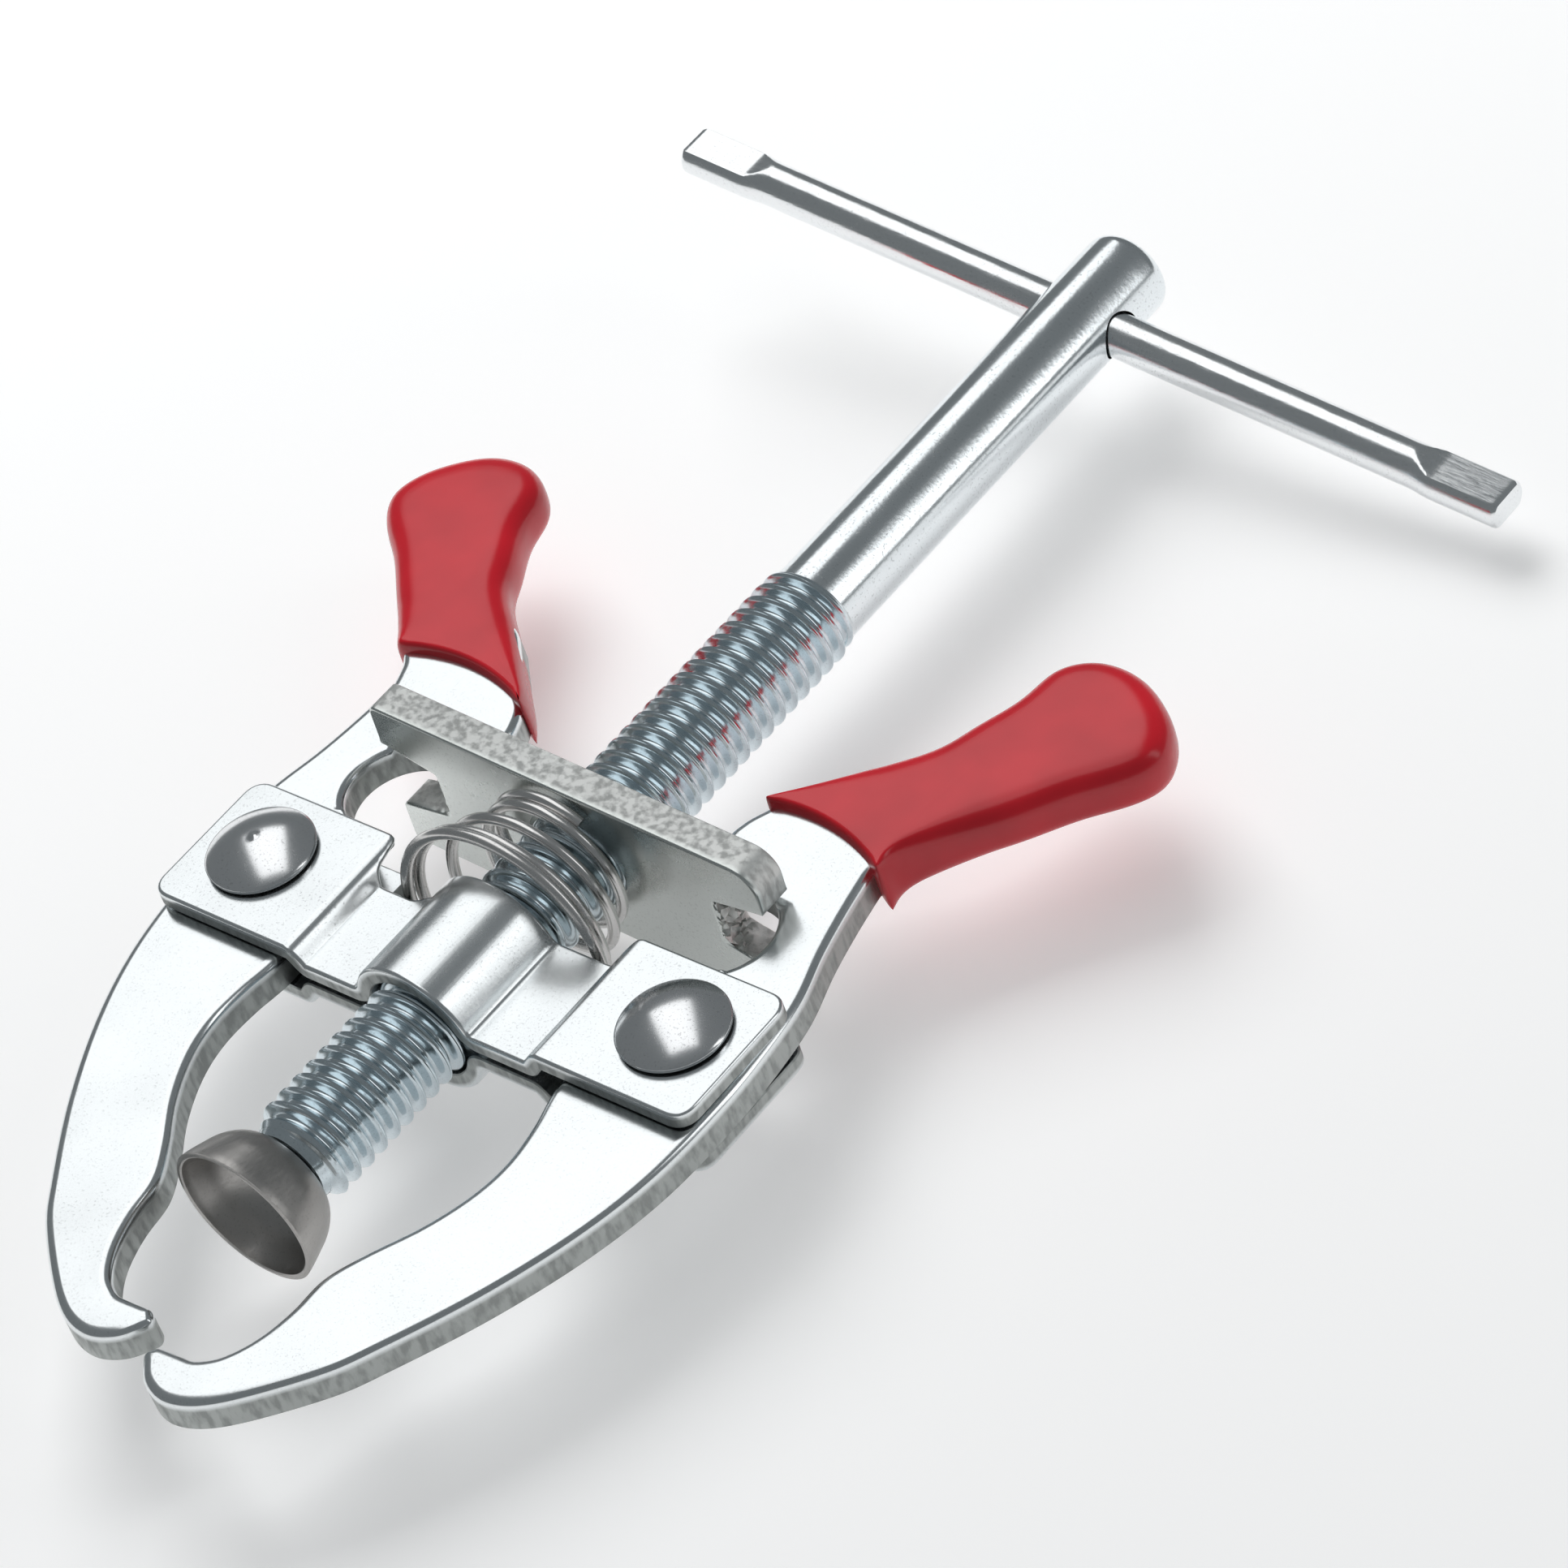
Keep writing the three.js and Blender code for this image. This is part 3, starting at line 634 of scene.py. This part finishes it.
def finish_geometry(graph, name, geometry, sizes, sharp=40):
    """Realize, set the material, run the tree on an empty mesh and keep the plain result."""
    whole = graph.node("GeometryNodeRealizeInstances", inputs={"Geometry": geometry})
    dressed = graph.node("GeometryNodeSetMaterial", inputs={"Geometry": whole, "Material": sizes["Material"]})
    ending = graph.tree.nodes.new("NodeGroupOutput")
    graph.tree.links.new(dressed.socket, ending.inputs[0])
    holder = bpy.data.objects.new(name, bpy.data.meshes.new(name))
    bpy.context.scene.collection.objects.link(holder)
    modifier = holder.modifiers.new(name, "NODES")
    modifier.node_group = graph.tree
    for item in graph.tree.interface.items_tree:
        if item.in_out == "INPUT":
            modifier[item.identifier] = sizes[item.name]
    bpy.context.view_layer.update()
    made = bpy.data.meshes.new_from_object(holder.evaluated_get(bpy.context.evaluated_depsgraph_get()))
    bpy.data.objects.remove(holder)
    made.transform(Matrix.Translation(Vector(tool_zero)) @ Matrix.Scale(MM, 4))
    return finish_mesh(name, made, sharp)


def xyz(graph, x, y, z):
    return graph.node("ShaderNodeCombineXYZ", inputs={"X": x, "Y": y, "Z": z})


# %% [markdown]
# ## Finishes
# Nearly everything is steel with a bright zinc coat. What changes from piece to piece is how smooth the
# steel under it is: rolled sheet is nearly a mirror with a fine grain, sheared sides are rough and grey,
# the thread has a bluish passivated coat, and the spring is bare wire. The grey of the sheared sides is
# partly their own dull steel and partly painted shade, a dark colour standing in for the dark surroundings
# that they reflect. One function therefore makes every metal, and its numbers say how each differs.
# Patterns use Object coordinates, so their scale is real.

# %% Metal finish
def blend(graph, factor, a, b):
    mixed = graph.node("ShaderNodeMix", {"data_type": "RGBA"}, {"Factor": factor, 6: a, 7: b})
    return Value(graph, mixed.socket.node.outputs[2])


def metal(name, colour, rough, grain=0.5, cloud=0.05, side=None, streak=None, bump=0.35, speck=0.25):
    """grain is the share of fine dark specks, cloud the change of roughness over the sheet, side the
    colour of sheared faces, darker partly by their dull steel and partly as painted shade for the dark
    surroundings that they reflect, streak the direction in which drawing or turning has left fine lines."""
    material = bpy.data.materials.new(name)
    material.use_nodes = True
    graph = Graph(material.node_tree)
    here = graph.node("ShaderNodeTexCoord")["Object"]

    def noise(size, detail=2.0, stretch=None):
        place = here
        if stretch:
            place = graph.node("ShaderNodeMapping", inputs={"Vector": here, "Scale": stretch})
        return graph.node(
            "ShaderNodeTexNoise", inputs={"Vector": place, "Scale": 1 / (size * MM), "Detail": detail}
        )["Fac"]

    fine = noise(0.5, 3.0)
    patch = noise(9.0, 3.0).between(0.35, 0.7)
    specks = noise(speck, 1.0).between(0.60, 0.72) * grain * (0.4 + 0.6 * patch)
    dark = tuple(0.42 * c for c in colour[:3]) + (1,)

    tint = blend(graph, specks, colour, dark)
    roughness = rough + cloud * patch + 0.25 * specks
    height = fine * bump + noise(2.2, 2.0) * 0.5
    if streak:
        lines = noise(0.35, 2.0, streak)
        roughness = roughness + 0.10 * lines.between(0.35, 0.7)
        height = height + 0.9 * lines
    if side:
        # The side colour is partly the dull sheared steel and partly painted shade, as if these faces
        # reflected dark surroundings.
        sheared = graph.node("ShaderNodeAttribute", {"attribute_name": "cut"})["Fac"]
        torn_up = noise(0.9, 4.0, (1, 1, 0.35)).between(0.42, 0.62)
        side_tint_and_painted_shade = blend(graph, torn_up, side, tuple(0.8 * c for c in side[:3]) + (1,))
        tint = blend(graph, sheared, tint, side_tint_and_painted_shade)
        roughness = roughness + sheared * (0.22 + 0.16 * torn_up)
        height = height + sheared * (1.2 * torn_up + 1.4 * fine)
    relief = graph.node("ShaderNodeBump", inputs={"Strength": 0.5, "Distance": 0.02 * MM, "Height": height})
    shader = graph.node(
        "ShaderNodeBsdfPrincipled",
        inputs={
            "Base Color": tint,
            "Roughness": roughness.clamped(0.04, 1.0),
            "Metallic": 1.0,
            "Normal": relief,
        },
    )
    ending = graph.tree.nodes.new("ShaderNodeOutputMaterial")
    graph.tree.links.new(shader.socket, ending.inputs["Surface"])
    print("finish", name)
    return material


# Grey of the sheared sides: partly their own dull steel, partly painted shade standing in for the dark
# surroundings they reflect.
SIDE_GREY_AND_PAINTED_SHADE = (0.42, 0.44, 0.43, 1)
plate_zinc = metal("plate_zinc", (0.80, 0.83, 0.84, 1), 0.20, grain=0.35, side=SIDE_GREY_AND_PAINTED_SHADE)
arm_zinc = metal("arm_zinc", (0.80, 0.83, 0.84, 1), 0.16, grain=0.2, side=SIDE_GREY_AND_PAINTED_SHADE)
PALE_SIDE = (0.78, 0.79, 0.77, 1)
# The crossbar's base colour is darker and greener than the other zinc: painted shade standing in for the dark
# surroundings that its faces reflect.
crossbar_zinc_painted_shade = metal("crossbar_zinc_painted_shade", (0.66, 0.69, 0.67, 1), 0.26, grain=0.3, side=PALE_SIDE)
rivet_zinc = metal("rivet_zinc", (0.80, 0.81, 0.82, 1), 0.16, grain=0.5, bump=0.15)
shank_zinc = metal("shank_zinc", (0.82, 0.86, 0.88, 1), 0.14, grain=0.5, speck=0.3, bump=0.8)
bar_zinc = metal("bar_zinc", (0.86, 0.88, 0.89, 1), 0.12, grain=0.3, streak=(0.02, 1, 1))
thread_zinc = metal("thread_zinc", (0.68, 0.76, 0.80, 1), 0.15, grain=0.4)
spring_wire = metal("spring_wire", (0.72, 0.71, 0.70, 1), 0.20, grain=0.3, cloud=0.1)
cup_steel = metal("cup_steel", (0.46, 0.445, 0.43, 1), 0.30, grain=0.3, streak=(1, 0.05, 1))

# %% [markdown]
# ## Vinyl
# The dip is a thick, glossy plastisol. A plain Principled surface with a deep red and a low roughness
# gives it; very shallow noise makes its reflections wander as they do on something that ran and set.

# %% Vinyl finish
def vinyl(name, colour):
    material = bpy.data.materials.new(name)
    material.use_nodes = True
    graph = Graph(material.node_tree)
    here = graph.node("ShaderNodeTexCoord")["Object"]
    slow = graph.node("ShaderNodeTexNoise", inputs={"Vector": here, "Scale": 110.0, "Detail": 2.0})["Fac"]
    fine = graph.node("ShaderNodeTexNoise", inputs={"Vector": here, "Scale": 1500.0, "Detail": 1.0})["Fac"]
    deep = tuple(0.8 * c for c in colour[:3]) + (1,)
    tint = blend(graph, slow.between(0.3, 0.7), colour, deep)
    relief = graph.node(
        "ShaderNodeBump", inputs={"Strength": 0.25, "Distance": 0.25 * MM, "Height": slow + 0.02 * fine}
    )
    shader = graph.node(
        "ShaderNodeBsdfPrincipled",
        inputs={"Base Color": tint, "Roughness": 0.2 + 0.08 * fine, "IOR": 1.5, "Normal": relief},
    )
    ending = graph.tree.nodes.new("ShaderNodeOutputMaterial")
    graph.tree.links.new(shader.socket, ending.inputs["Surface"])
    return material


red_vinyl = vinyl("red_vinyl", (0.62, 0.010, 0.022, 1))

# %% [markdown]
# ## The thread
# A rolled thread is the same rounded ridge wound round a rod. It could be a profile swept along a helix,
# but its two ends would then be open strips. Here a plain grid is wrapped round the rod by Geometry
# Nodes, and sheared by one pitch on its way round, so that its rows follow the ridge exactly. Rows that
# would pass an end are stopped there, which closes the rod with two flat rings.

# %% Spindle thread
PITCH = 2.1
CUP_TO_RIVETS = 37.77
THREAD_START = -CUP_TO_RIVETS + 7.3
THREAD_TURNS = 42
THREAD_LENGTH = 88.2
SHANK_START = THREAD_START + THREAD_LENGTH
SHANK_RADIUS = 5.32
ROOT_RADIUS = 4.78
THREAD_SIZES = {
    "Pitch": PITCH,
    "Length": PITCH * THREAD_TURNS,
    "Start": THREAD_START + PITCH / 2,
    "Crest Radius": SCREW_RADIUS,
    "Root Radius": ROOT_RADIUS,
    "Shank Radius": SHANK_RADIUS,
    "Around": 72,
    "Rows": 14 * (THREAD_TURNS + 1),
    "Material": thread_zinc,
}


def thread_piece():
    graph, size = geometry_graph("rolled_thread", THREAD_SIZES)
    columns, rows = size["Around"] + 1, size["Rows"] + 1
    inputs = {"Size X": 1.0, "Size Y": 1.0, "Vertices X": columns, "Vertices Y": rows}
    grid = graph.node("GeometryNodeMeshGrid", inputs=inputs)
    place = graph.node("ShaderNodeSeparateXYZ", inputs={0: graph.node("GeometryNodeInputPosition")})
    turn, row = place["X"] + 0.5, place["Y"] + 0.5
    pitch, length = size["Pitch"], size["Length"]
    along = (row * (length + pitch) - pitch + turn * pitch).clamped(0.0, length)
    phase = (along / pitch - turn + 2.0001).maths("FRACT")
    curve = graph.node("ShaderNodeFloatCurve", inputs={"Value": phase})
    ridge = [(0, 0), (0.1, 0.03), (0.24, 0.42), (0.36, 0.9), (0.44, 1.0), (0.5, 0.94),
             (0.56, 1.0), (0.64, 0.9), (0.76, 0.42), (0.9, 0.03), (1, 0)]  # fmt: skip
    line = curve.socket.node.mapping.curves[0]
    for x, y in ridge[1:-1]:
        line.points.new(x, y)
    line.points[-1].location = (1, 0)
    curve.socket.node.mapping.update()
    tall = size["Crest Radius"] - size["Root Radius"]
    radius = size["Root Radius"] + tall * curve * (along / (pitch * 0.7)).clamped()
    out = ((along - length) / (pitch * 1.1) + 1).clamped()
    radius = radius + (size["Shank Radius"] - radius) * out
    angle = turn * (2 * math.pi)
    y = along + size["Start"]
    wound = xyz(graph, radius * angle.maths("COSINE"), y, -1 * radius * angle.maths("SINE"))
    moved = graph.node("GeometryNodeSetPosition", inputs={"Geometry": grid, "Position": wound})
    joined = graph.node("GeometryNodeMergeByDistance", inputs={"Geometry": moved, "Distance": 1e-3})
    return finish_geometry(graph, "thread", joined, THREAD_SIZES, sharp=50)


thread = thread_piece()

# %% [markdown]
# ## Shank, tip and T-bar
# The shank is plain rod with a rounded end and a cross hole. The tip behind the cup is a turned neck whose
# end is spread inside the cup, so that the cup turns freely but can't come off. Both are turned profiles,
# and they are joined to the thread as one piece, because the real spindle is one bar.

# %% Spindle
SHANK_LENGTH = 58.6
SHANK_ROUNDING = 1.8
SPINDLE_END = SHANK_START + PITCH / 2 + SHANK_LENGTH
BAR_Y = SPINDLE_END - 9.6
BAR_RADIUS = 2.6
BORE_RADIUS = BAR_RADIUS + 0.25
CUP_DEPTH = 7.0
CUP_WALL = 0.7
CUP_FLOOR = -CUP_TO_RIVETS + CUP_DEPTH - CUP_WALL


def turned(name, profile):
    points, faces = lathe(profile, 72)
    return add_piece(name, about_y(points, BAR_TURN), faces)


def join(name, parts, sharp):
    work = bmesh.new()
    for part in parts:
        work.from_mesh(part.data)
        bpy.data.objects.remove(part)
    mesh = bpy.data.meshes.new(name)
    work.to_mesh(mesh)
    work.free()
    return finish_mesh(name, mesh, sharp)


shank_line = [(1e-3, SHANK_START - 0.5), (SHANK_RADIUS, SHANK_START - 0.5)]
straight = np.linspace(THREAD_START + 90, SPINDLE_END - SHANK_ROUNDING, 30)
shank_line += [(SHANK_RADIUS, y) for y in straight]
centre = (SHANK_RADIUS - SHANK_ROUNDING, SPINDLE_END - SHANK_ROUNDING)
shank_line += arc(*centre, SHANK_ROUNDING, 0, 90, 10)[1:]
shank_line += [(2.0, SPINDLE_END), (1e-3, SPINDLE_END)]
shank = turned("shank", shank_line)
bore_profile = [(1e-3, -9), (BORE_RADIUS, -9), (BORE_RADIUS, 9), (1e-3, 9)]
bore_points, bore_faces = lathe(bore_profile, 48)
bore_points = bore_points[:, [1, 0, 2]] * [1, -1, 1] + [0, BAR_Y, 0]
cut_with(shank, about_y(bore_points, BAR_TURN), bore_faces, "cross_hole")

STAKE_BACK = CUP_FLOOR - 0.3
STAKE_FRONT = STAKE_BACK - 1.5
tip_line = [(1e-3, STAKE_FRONT + 0.35), (1.2, STAKE_FRONT + 0.3), (2.2, STAKE_FRONT + 0.05)]
tip_line += [(3.3, STAKE_FRONT)]
tip_line += [(3.9, STAKE_FRONT + 0.3), (4.1, STAKE_BACK - 0.5), (4.0, STAKE_BACK), (3.2, STAKE_BACK)]
tip_line += [(3.2, THREAD_START + 0.1), (4.4, THREAD_START + 0.3), (ROOT_RADIUS, THREAD_START + 1.1)]
tip_line += [(1e-3, THREAD_START + 1.2)]
tip = turned("tip", tip_line)
for part in (tip, shank):
    part.data.materials.append(shank_zinc)

# %% T-bar
BAR_HALF = 56.5
SWAGE_HALF = 1.8
SWAGE_WIDE = 2.95
SWAGE_LENGTH = 8.5
SWAGE_RAMP = 3.5
END_RUN = 13
BAR_OFFSET = 0.45


def t_bar_shape():
    around = 40
    angles = np.linspace(0, 2 * math.pi, around, endpoint=False)
    end = np.linspace(0, END_RUN, 40)
    between = np.linspace(END_RUN, 2 * BAR_HALF - END_RUN, 50)[1:-1]
    run = np.concatenate([end, between, end + 2 * BAR_HALF - END_RUN]) - BAR_HALF
    rings = []
    for x in run:
        inside = BAR_HALF - abs(x)
        t = np.clip((inside - SWAGE_LENGTH) / SWAGE_RAMP, 0, 1)
        pressed = 1 - t * t * (3 - 2 * t)
        half = BAR_RADIUS + (SWAGE_HALF - BAR_RADIUS) * pressed
        wide = BAR_RADIUS + (SWAGE_WIDE - BAR_RADIUS) * pressed
        closing = 1 - 0.10 * max(0, 1 - inside / 0.5) ** 2
        y = wide * np.cos(angles) * closing
        z = np.clip(BAR_RADIUS * np.sin(angles), -half, half) * closing
        rings.append(np.column_stack([np.full(around, x), y, z]))
    return np.vstack(rings), loft_faces(len(rings), around)


points, faces = t_bar_shape()
t_bar = add_piece("t_bar_rod", about_y(points + [BAR_OFFSET, BAR_Y, 0], BAR_TURN), faces)

# %% [markdown]
# ## The swivel cup
# A thin bowl pressed from sheet: its profile is turned, with a wall of 0.7 mm and a rolled rim.

# %% Cup
CUP_RIM = -CUP_TO_RIVETS
CUP_RADIUS = 8.87
CUP_HOLE = 3.5
CUP_AROUND = 96
CUP_BOWL = [
    (1.0, 0.02), (0.99, 0.1), (0.975, 0.18), (0.935, 0.36), (0.875, 0.6), (0.785, 0.8), (0.675, 0.94),
    (0.55, 1.0),
]  # fmt: skip


def cup_side(wall):
    """The bowl's profile, moved inwards by a wall."""
    return sweep([(CUP_RADIUS * r - wall, CUP_RIM + (CUP_DEPTH - wall) * d) for r, d in CUP_BOWL], 5)


lip = [(8.6, CUP_RIM), (8.35, CUP_RIM)]
bottom = [(CUP_HOLE, CUP_FLOOR), (CUP_HOLE, CUP_RIM + CUP_DEPTH)]
cup_line = [*cup_side(0)[::-1], *lip, *cup_side(CUP_WALL), *bottom]
points, faces = lathe(cup_line, CUP_AROUND)
last = CUP_AROUND * (len(cup_line) - 1)
following = [(i + 1) % CUP_AROUND for i in range(CUP_AROUND)]
faces = faces[:-2] + [(last + i, i, j, last + j) for i, j in enumerate(following)]
cup = add_piece("cup_bowl", points, faces)

# %% [markdown]
# ## The cone spring
# The wire follows a rule: it climbs slowly in the closed turns at each end, faster between them, and the
# coil narrows as it climbs. Geometry Nodes work that rule out on a straight line of points, which bend
# into the coil, and a round profile is then swept along it. The loose spring leans towards one side.

# %% Spring
WIRE = 0.68
LARGE_SHIFT = (-0.5, 0.1)
SHIFT_CHANGE = (-0.2, 1.15)
SPRING_SIZES = {
    "Wire Radius": WIRE,
    "Turns": 4.6,
    "Large Radius": 12.9,
    "Small Radius": SCREW_RADIUS + 2.55,
    "Low": 4.798,
    "High": CROSSBAR_BACK - CROSSBAR_THICKNESS - 0.3 - WIRE,
    "Closed Pitch": 2 * WIRE + 0.05,
    "Closed Large": 1.54,
    "Closed Small": 1.2,
    "Tilt X": 0.05,
    "Tilt Z": 0.09,
    "Steps": 420,
    "Material": spring_wire,
}


def spring_piece():
    graph, size = geometry_graph("cone_spring", SPRING_SIZES)
    line = graph.node("GeometryNodeCurvePrimitiveLine")
    dense = graph.node("GeometryNodeResampleCurve", inputs={"Curve": line, "Count": size["Steps"]})
    turn = graph.node("GeometryNodeSplineParameter") * size["Turns"]
    open_turns = size["Turns"] - size["Closed Large"] - size["Closed Small"]
    closed_rise = size["Closed Pitch"] * (size["Closed Large"] + size["Closed Small"])
    open_rise = size["High"] - size["Low"] - closed_rise
    climbed = ((turn - size["Closed Large"]) / open_turns).clamped()
    last = (turn - (size["Turns"] - size["Closed Small"])).clamped(0, 9)
    closed = turn.maths("MINIMUM", size["Closed Large"]) + last
    y = size["Low"] + size["Closed Pitch"] * closed + open_rise * climbed
    coned = ((turn - 1) / (size["Turns"] - size["Closed Small"] - 1)).clamped()
    radius = size["Large Radius"] + (size["Small Radius"] - size["Large Radius"]) * coned
    share = (y - size["Low"]) / (size["High"] - size["Low"])
    angle = (turn + 0.25) * (-2 * math.pi)
    x, z = radius * angle.maths("COSINE"), radius * angle.maths("SINE")
    lean = (1 - share) * (size["Tilt X"] * x + size["Tilt Z"] * z)
    shift_x, shift_z = (start + change * share for start, change in zip(LARGE_SHIFT, SHIFT_CHANGE))
    coil = xyz(graph, x + shift_x, y + lean, z + shift_z)
    bent = graph.node("GeometryNodeSetPosition", inputs={"Geometry": dense, "Position": coil})
    round_wire = {"Resolution": 16, "Radius": size["Wire Radius"]}
    ring = graph.node("GeometryNodeCurvePrimitiveCircle", inputs=round_wire)
    along = {"Curve": bent, "Profile Curve": ring, "Fill Caps": True}
    swept = graph.node("GeometryNodeCurveToMesh", inputs=along)
    return finish_geometry(graph, "spring_coil", swept, SPRING_SIZES, sharp=50)


spring = spring_piece()

# %% [markdown]
# ## Dress, attach and replace
# Each piece now gets its finish, rides on the CAD body that it belongs to, and stands for a CAD node, which
# is then hidden. The last column of the table names each piece's slot: which finish a repaint would change.

# %% Dress and attach
spindle = join("spindle_bar", [thread, shank, tip], 40)
spindle.data.materials.clear()
for finish in (thread_zinc, shank_zinc):
    spindle.data.materials.append(finish)
thread_low = THREAD_START * MM + tool_zero[1]
thread_high = SHANK_START * MM + tool_zero[1]
for face in spindle.data.polygons:
    face.material_index = 0 if thread_low < face.center.y < thread_high else 1

PIECES = [
    (arms["left"], arm_zinc, "left_jaw", "left_arm", "zinc_plate"),
    (arms["right"], arm_zinc, "right_jaw", "right_arm", "zinc_plate"),
    (grips["left"], red_vinyl, "left_jaw", "left_grip", "red_vinyl"),
    (grips["right"], red_vinyl, "right_jaw", "right_grip", "red_vinyl"),
    (brackets["upper"], plate_zinc, "frame", "upper_bracket", "zinc_plate"),
    (brackets["lower"], plate_zinc, "frame", "lower_bracket", "zinc_plate"),
    (rivets["left"], rivet_zinc, "frame", "left_rivet", "rivet_zinc"),
    (rivets["right"], rivet_zinc, "frame", "right_rivet", "rivet_zinc"),
    (crossbar, crossbar_zinc_painted_shade, "crossbar", "crossbar", "zinc_plate"),
    (spring, None, "frame", "spring", "spring_steel"),
    (spindle, None, "spindle", "spindle", "screw_zinc"),
    (cup, cup_steel, "cup", "cup", "screw_zinc"),
    (t_bar, bar_zinc, "t_bar", "t_bar", "rivet_zinc"),
]
for piece, finish, body, node, slot in PIECES:
    if finish:
        piece.data.materials.clear()
        piece.data.materials.append(finish)
    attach(piece, body)
    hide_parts(node)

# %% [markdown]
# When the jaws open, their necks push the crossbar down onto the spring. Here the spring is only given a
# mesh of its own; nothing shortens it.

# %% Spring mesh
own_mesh(spring)

# %% [markdown]
# ## Floor, camera and light
# The tool lies on plain white. The camera is given by its direction, its roll, its distance and the point
# that it looks at, and its matrix is built from those. Polished metal shows what surrounds it more than
# it shows its own colour, so two white panels stand where its faces reflect them, in a dim room that
# leaves the dark bands between. A third light gives the soft shadows, and is hidden from reflections.
# The floor glows a little, so that it stays pale under lights that are weak enough for the metal.

# %% Floor
bpy.ops.mesh.primitive_plane_add(size=6)
floor = bpy.context.object
floor.name = "floor"
floor.location.z = -0.0005
paper = bpy.data.materials.new("paper")
paper.use_nodes = True
paper_inputs = paper.node_tree.nodes["Principled BSDF"].inputs
paper_inputs["Base Color"].default_value = (0.72, 0.72, 0.72, 1)
paper_inputs["Roughness"].default_value = 0.9
paper_inputs["Emission Color"].default_value = (1, 1, 1, 1)
paper_inputs["Emission Strength"].default_value = 0.34
floor.data.materials.append(paper)

# %% Camera
AZIMUTH, ELEVATION, ROLL = 53.343, 42.195, -20.75
DISTANCE = 680.0
LOOK_AT = (18.45, 32.21, 4.85)
az, el = math.radians(AZIMUTH), math.radians(ELEVATION)
back = Vector((math.sin(az) * math.cos(el), -math.cos(az) * math.cos(el), math.sin(el)))
level = Vector((math.cos(az), math.sin(az), 0))
upright = back.cross(level)
roll = math.radians(ROLL)
right = level * math.cos(roll) + upright * math.sin(roll)
up = back.cross(right)
target = Vector(tool_zero) + Vector(LOOK_AT) * MM
pose = Matrix((right, up, back)).transposed().to_4x4()
pose.translation = target + back * DISTANCE * MM
camera = bpy.data.objects.new("camera", bpy.data.cameras.new("camera"))
camera.data.lens, camera.data.sensor_width = 149.65, 36
camera.data.clip_start, camera.data.clip_end = 0.01, 20
camera.matrix_world = pose
bpy.context.scene.collection.objects.link(camera)
bpy.context.scene.camera = camera

# %% Lights
def panel(name, direction, distance, width, height, power, colour=(1, 1, 1)):
    """A rectangular soft light in a direction from the tool, facing it."""
    light = bpy.data.lights.new(name, "AREA")
    light.shape, light.size, light.size_y = "RECTANGLE", width, height
    light.energy, light.color = power, colour
    holder = bpy.data.objects.new(name, light)
    toward = Vector(direction).normalized()
    holder.location = target + toward * distance
    holder.rotation_euler = toward.to_track_quat("Z", "Y").to_euler()
    bpy.context.scene.collection.objects.link(holder)
    return holder


panel("top_panel", (-0.339, 0.252, 0.906), 0.9, 0.55, 1.15, 2.2)
panel("side_panel", (0.765, 0.442, 0.468), 1.0, 0.25, 0.8, 0.9)
key = panel("key", (-0.55, 0.40, 0.73), 0.9, 0.6, 0.6, 5.2)
key.visible_glossy = False
world = bpy.data.worlds.new("studio")
bpy.context.scene.world = world
world.use_nodes = True
world.node_tree.nodes["Background"].inputs["Color"].default_value = (0.50, 0.54, 0.56, 1)
world.node_tree.nodes["Background"].inputs["Strength"].default_value = 0.32
bpy.context.scene.view_settings.view_transform = "Standard"
